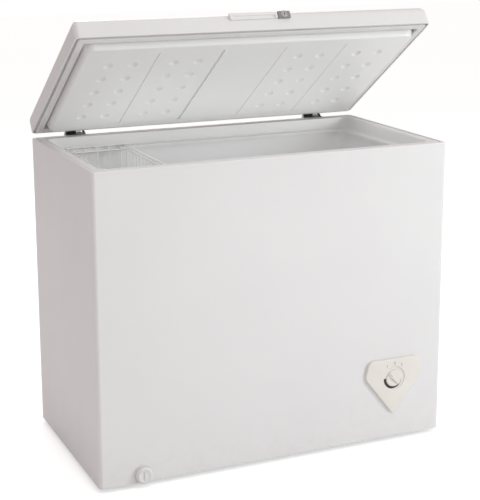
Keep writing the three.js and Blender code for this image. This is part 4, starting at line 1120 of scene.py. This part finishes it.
def rear_hatch():
    low, high = box_of("rear_cover")
    plate = block(low, high, 0.35, 2)
    cuts = []
    margin, rows, slot = 42, 7, 8
    pitch = (high.z - low.z - 2 * margin - slot) / (rows - 1)
    middle = (low.x + high.x) / 2
    for row in range(rows):
        z = low.z + margin + row * pitch
        for a, b in ((low.x + margin, middle - 6), (middle + 6, high.x - margin)):
            cuts.append(block((a, low.y - 5, z), (b, high.y + 5, z + slot)))
    gland = middle_of("cable_gland")
    cuts.append(rod((gland.x, low.y - 5, gland.z), (gland.x, high.y + 5, gland.z), 9.5, 0.1))
    fold = block(
        (low.x + 22, high.y - 0.6, high.z - 30), (high.x - 22, high.y + 1.2, high.z - 22), 0.8
    )
    piece(
        "rear_hatch", plate, "cabinet", zinc_plate, ["rear_cover"],
        [gather(cuts)], [fold],
    )
    heights = (low.z + 6, high.z - 6)
    edges = [(x, high.y, z) for x in (low.x + 6, middle, high.x - 6) for z in heights]
    screws("rear_hatch_screws", "cabinet", edges, (0, 1, 0))
    near, far = (corner.y for corner in box_of("cable_gland"))
    long = far - near
    collar = long - 7
    profile = [(3.5, 0), (9, 0), (9, collar), (12.2, collar), (12.5, collar + 0.5)]
    profile += [(12.5, collar + 2.2), (11.6, collar + 2.8), (8, collar + 3.2), (7, long - 0.6)]
    profile += [(6.4, long), (4.2, long), (3.5, long - 0.7), (3.5, 0)]
    piece(
        "lead_bushing", spun(profile, (gland.x, near, gland.z), (0, 1, 0), 40), "cabinet",
        moulded_black, ["cable_gland"],
    )


def feet():
    for end in ("front", "rear"):
        for side in ("left", "right"):
            node = f"foot_{end}_{side}"
            low, high = box_of(node)
            x, y = (low.x + high.x) / 2, (low.y + high.y) / 2
            reach = (high.x - low.x) / 2
            profile = [(0, 0.0), (reach - 4.4, 0.0), (reach - 3.2, 0.6), (reach - 2.8, 1.8)]
            profile += [(reach - 2.2, 5.5), (reach - 0.4, 6.4), (reach, 7.2), (reach, high.z)]
            profile += [(0, high.z)]
            piece(
                f"foot_pad_{end}_{side}", spun(profile, (x, y, 0), (0, 0, 1), 36), "cabinet",
                foot_rubber, [node],
            )


# ---- Basket ----
def strands(name, routes, bend, gauge, nodes, closed=False, steps=4, sides=2):
    """A set of coated wires, each a route of corners."""
    bm = bmesh.new()
    for corners in routes:
        route = softened(corners, bend, steps)
        wire(bm, route[:-1] if closed else route, gauge, closed, sides)
    piece(name, bm, "basket", wire_coating, nodes, recalc=False)


def basket():
    rail_low, rail_high = box_of("basket_rail")
    left, right = rail_low.x + 2.5, rail_high.x - 2.5
    front, back = rail_low.y + 2.5, rail_high.y - 2.5
    rail_z = rail_low.z + 2.5
    end = box_of("basket_side_left")[0].y + 2  # where the grid's front wall stands
    far = 2 * MID_Y - end
    bottom = box_of("basket_floor")[0].z + 2

    def loop(x0, x1, y0, y1, z):
        """Corners of a hoop that starts and ends halfway along its left run."""
        return [(x0, MID_Y, z), (x0, y0, z), (x1, y0, z), (x1, y1, z), (x0, y1, z), (x0, MID_Y, z)]

    top = [loop(left, right, front, back, rail_z)]
    strands("basket_frame", top, 16, 2.4, ["basket_rail"], closed=True, steps=6, sides=3)
    cross = []
    for i in range(15):
        y = end + 4 + (far - end - 8) * i / 14
        down = [(left + 0.6, y, rail_z - 3), (left + 1.6, y, bottom)]
        cross.append(down + [(right - 1.6, y, bottom), (right - 0.6, y, rail_z - 3)])
    strands("basket_cross_wires", cross, 10, 1.5, ["basket_side_left", "basket_side_right"])
    long, run = [], bottom + 2.8
    for i in range(5):
        x = left + 16 + (right - left - 32) * i / 4
        down = [(x, end - 18, rail_z), (x, end, rail_z - 3), (x, end + 2, run)]
        long.append(down + [(x, far - 2, run), (x, far, rail_z - 3), (x, far + 18, rail_z)])
    strands("basket_long_wires", long, 8, 1.5, ["basket_floor"])
    hoops = [
        loop(left + 2.6, right - 2.6, end + 3.4, far - 3.4, z)
        for z in (bottom + 50, bottom + 105, rail_z - 8)
    ]
    ends = ["basket_end_front", "basket_end_rear"]
    strands("basket_hoops", hoops, 12, 1.6, ends, closed=True, steps=5)


for make in (cabinet_shell, rear_sheet, rim_collar, liner_tub):
    make()
for make in (lid_shell, lid_inner_panel, lid_seal, lid_fittings):
    make()
hinge("left")
hinge("right")
for make in (dial, drain, side_louvre, rear_hatch, feet, basket):
    make()

# ---- Finishes of the solids that stay ----
KEPT = {
    foam_block: [n for n in frame["nodes"] if "insulation" in n],
    zinc_plate: ["base_pan", "lock_keeper", "compressor_plate"],
    alloy_tube: ["evaporator_tube"],
    steel_tube: ["condenser_tube"],
    compressor_paint: ["compressor"],
    moulded_black: ["relay_cover"],
    copper_tube: ["suction_pipe", "discharge_pipe", "filter_drier"],
    moulded_grey: ["thermostat", "drain_tube"],
    foot_rubber: [n for n in frame["nodes"] if n.startswith("compressor_mount")],
}
for material, names in KEPT.items():
    for name in names:
        solid = frame["nodes"][name]
        solid.data.materials.clear()
        solid.data.materials.append(material)


# ---- Floor, light and camera ----
def studio():
    floor = bmesh.new()
    bmesh.ops.create_grid(floor, x_segments=4, y_segments=4, size=14)
    ground = as_object("studio_floor", floor)
    paper = coated(
        "floor_paper", (0.93, 0.93, 0.93), (0.91, 0.91, 0.91), gloss=(0.85, 0.95), drift=0.6,
        grain=60, share=0.4, ripple=12, relief=0.02,
    )
    tree = Tree(paper.node_tree)
    seen = tree.add("ShaderNodeLightPath").outputs["Is Camera Ray"]
    shader = paper.node_tree.nodes["Principled BSDF"]
    fill(shader, {"Emission Color": (1, 1, 1, 1)})
    tree.join(tree.math("MULTIPLY", seen, 0.5), shader.inputs["Emission Strength"])
    ground.data.materials.append(paper)
    world = bpy.data.worlds.new("studio")
    scene.world = world
    world.use_nodes = True
    tree = Tree(world.node_tree)
    plain = world.node_tree.nodes["Background"]
    fill(plain, {"Color": (1.0, 0.92, 0.915, 1), "Strength": 0.56})
    backdrop = tree.add("ShaderNodeBackground")
    fill(backdrop, {"Color": (1, 1, 1, 1)})
    path = tree.add("ShaderNodeLightPath")
    choice = tree.add("ShaderNodeMixShader")
    tree.join(path.outputs["Is Camera Ray"], choice.inputs[0])
    tree.join(plain.outputs[0], choice.inputs[1])
    tree.join(backdrop.outputs[0], choice.inputs[2])
    tree.join(choice.outputs[0], world.node_tree.nodes["World Output"].inputs["Surface"])
    lamps = (
        ("key", (2.6, -2.3, 1.4), (0.2, 0.0, 0.6), 1.4, 42, (0.90, 1.0, 1.0)),
        ("high", (-0.3, -2.2, 3.1), (0.0, -0.1, 0.6), 1.6, 16, (0.98, 1.0, 1.0)),
        ("top", (0.2, 0.2, 3.4), (0.0, 0.0, 0.0), 2.4, 8, (1.0, 1.0, 1.0)),
        ("back", (0.6, 3.2, 2.6), (0.0, 0.0, 0.5), 2.2, 30, (1.0, 1.0, 1.0)),
    )
    for name, at, target, size, power, colour in lamps:
        lamp(name, "DISK", (size, size), power, at, target, colour)
    mouth = Vector((0, MID_Y, LEDGE + 6)) / MM
    for name, way, power in (("lid_bounce", 1, 0.5), ("cavity_bounce", -1, 0.17)):
        target = mouth + Vector((0, 0.001, way))
        lamp(name, "RECTANGLE", (0.78, 0.34), power, mouth, target, (1, 1, 1))


def lamp(name, shape, sizes, power, at, target, colour):
    light = bpy.data.lights.new(name, "AREA")
    light.shape, light.energy, light.color = shape, power, colour
    light.size, light.size_y = sizes
    holder = bpy.data.objects.new(name, light)
    scene.collection.objects.link(holder)
    holder.location = at
    holder.visible_camera = False
    holder.visible_glossy = "bounce" not in name
    aim = Vector(target) - Vector(at)
    holder.rotation_euler = aim.to_track_quat("-Z", "Y").to_euler()


def camera():
    lens = bpy.data.cameras.new("view")
    lens.lens = 93.41
    lens.shift_y = -0.1
    lens.clip_end = 60
    holder = bpy.data.objects.new("view", lens)
    scene.collection.objects.link(holder)
    holder.location = (-1.322, -3.0139, 1.3528)
    yaw, pitch, roll = radians(23.89), radians(-12.52), radians(-0.18)
    turn = Matrix.Rotation(-yaw, 4, "Z") @ Matrix.Rotation(pi / 2 + pitch, 4, "X")
    holder.rotation_euler = (turn @ Matrix.Rotation(roll, 4, "Z")).to_euler()
    scene.camera = holder


studio()
camera()
scene.view_settings.view_transform = "Standard"
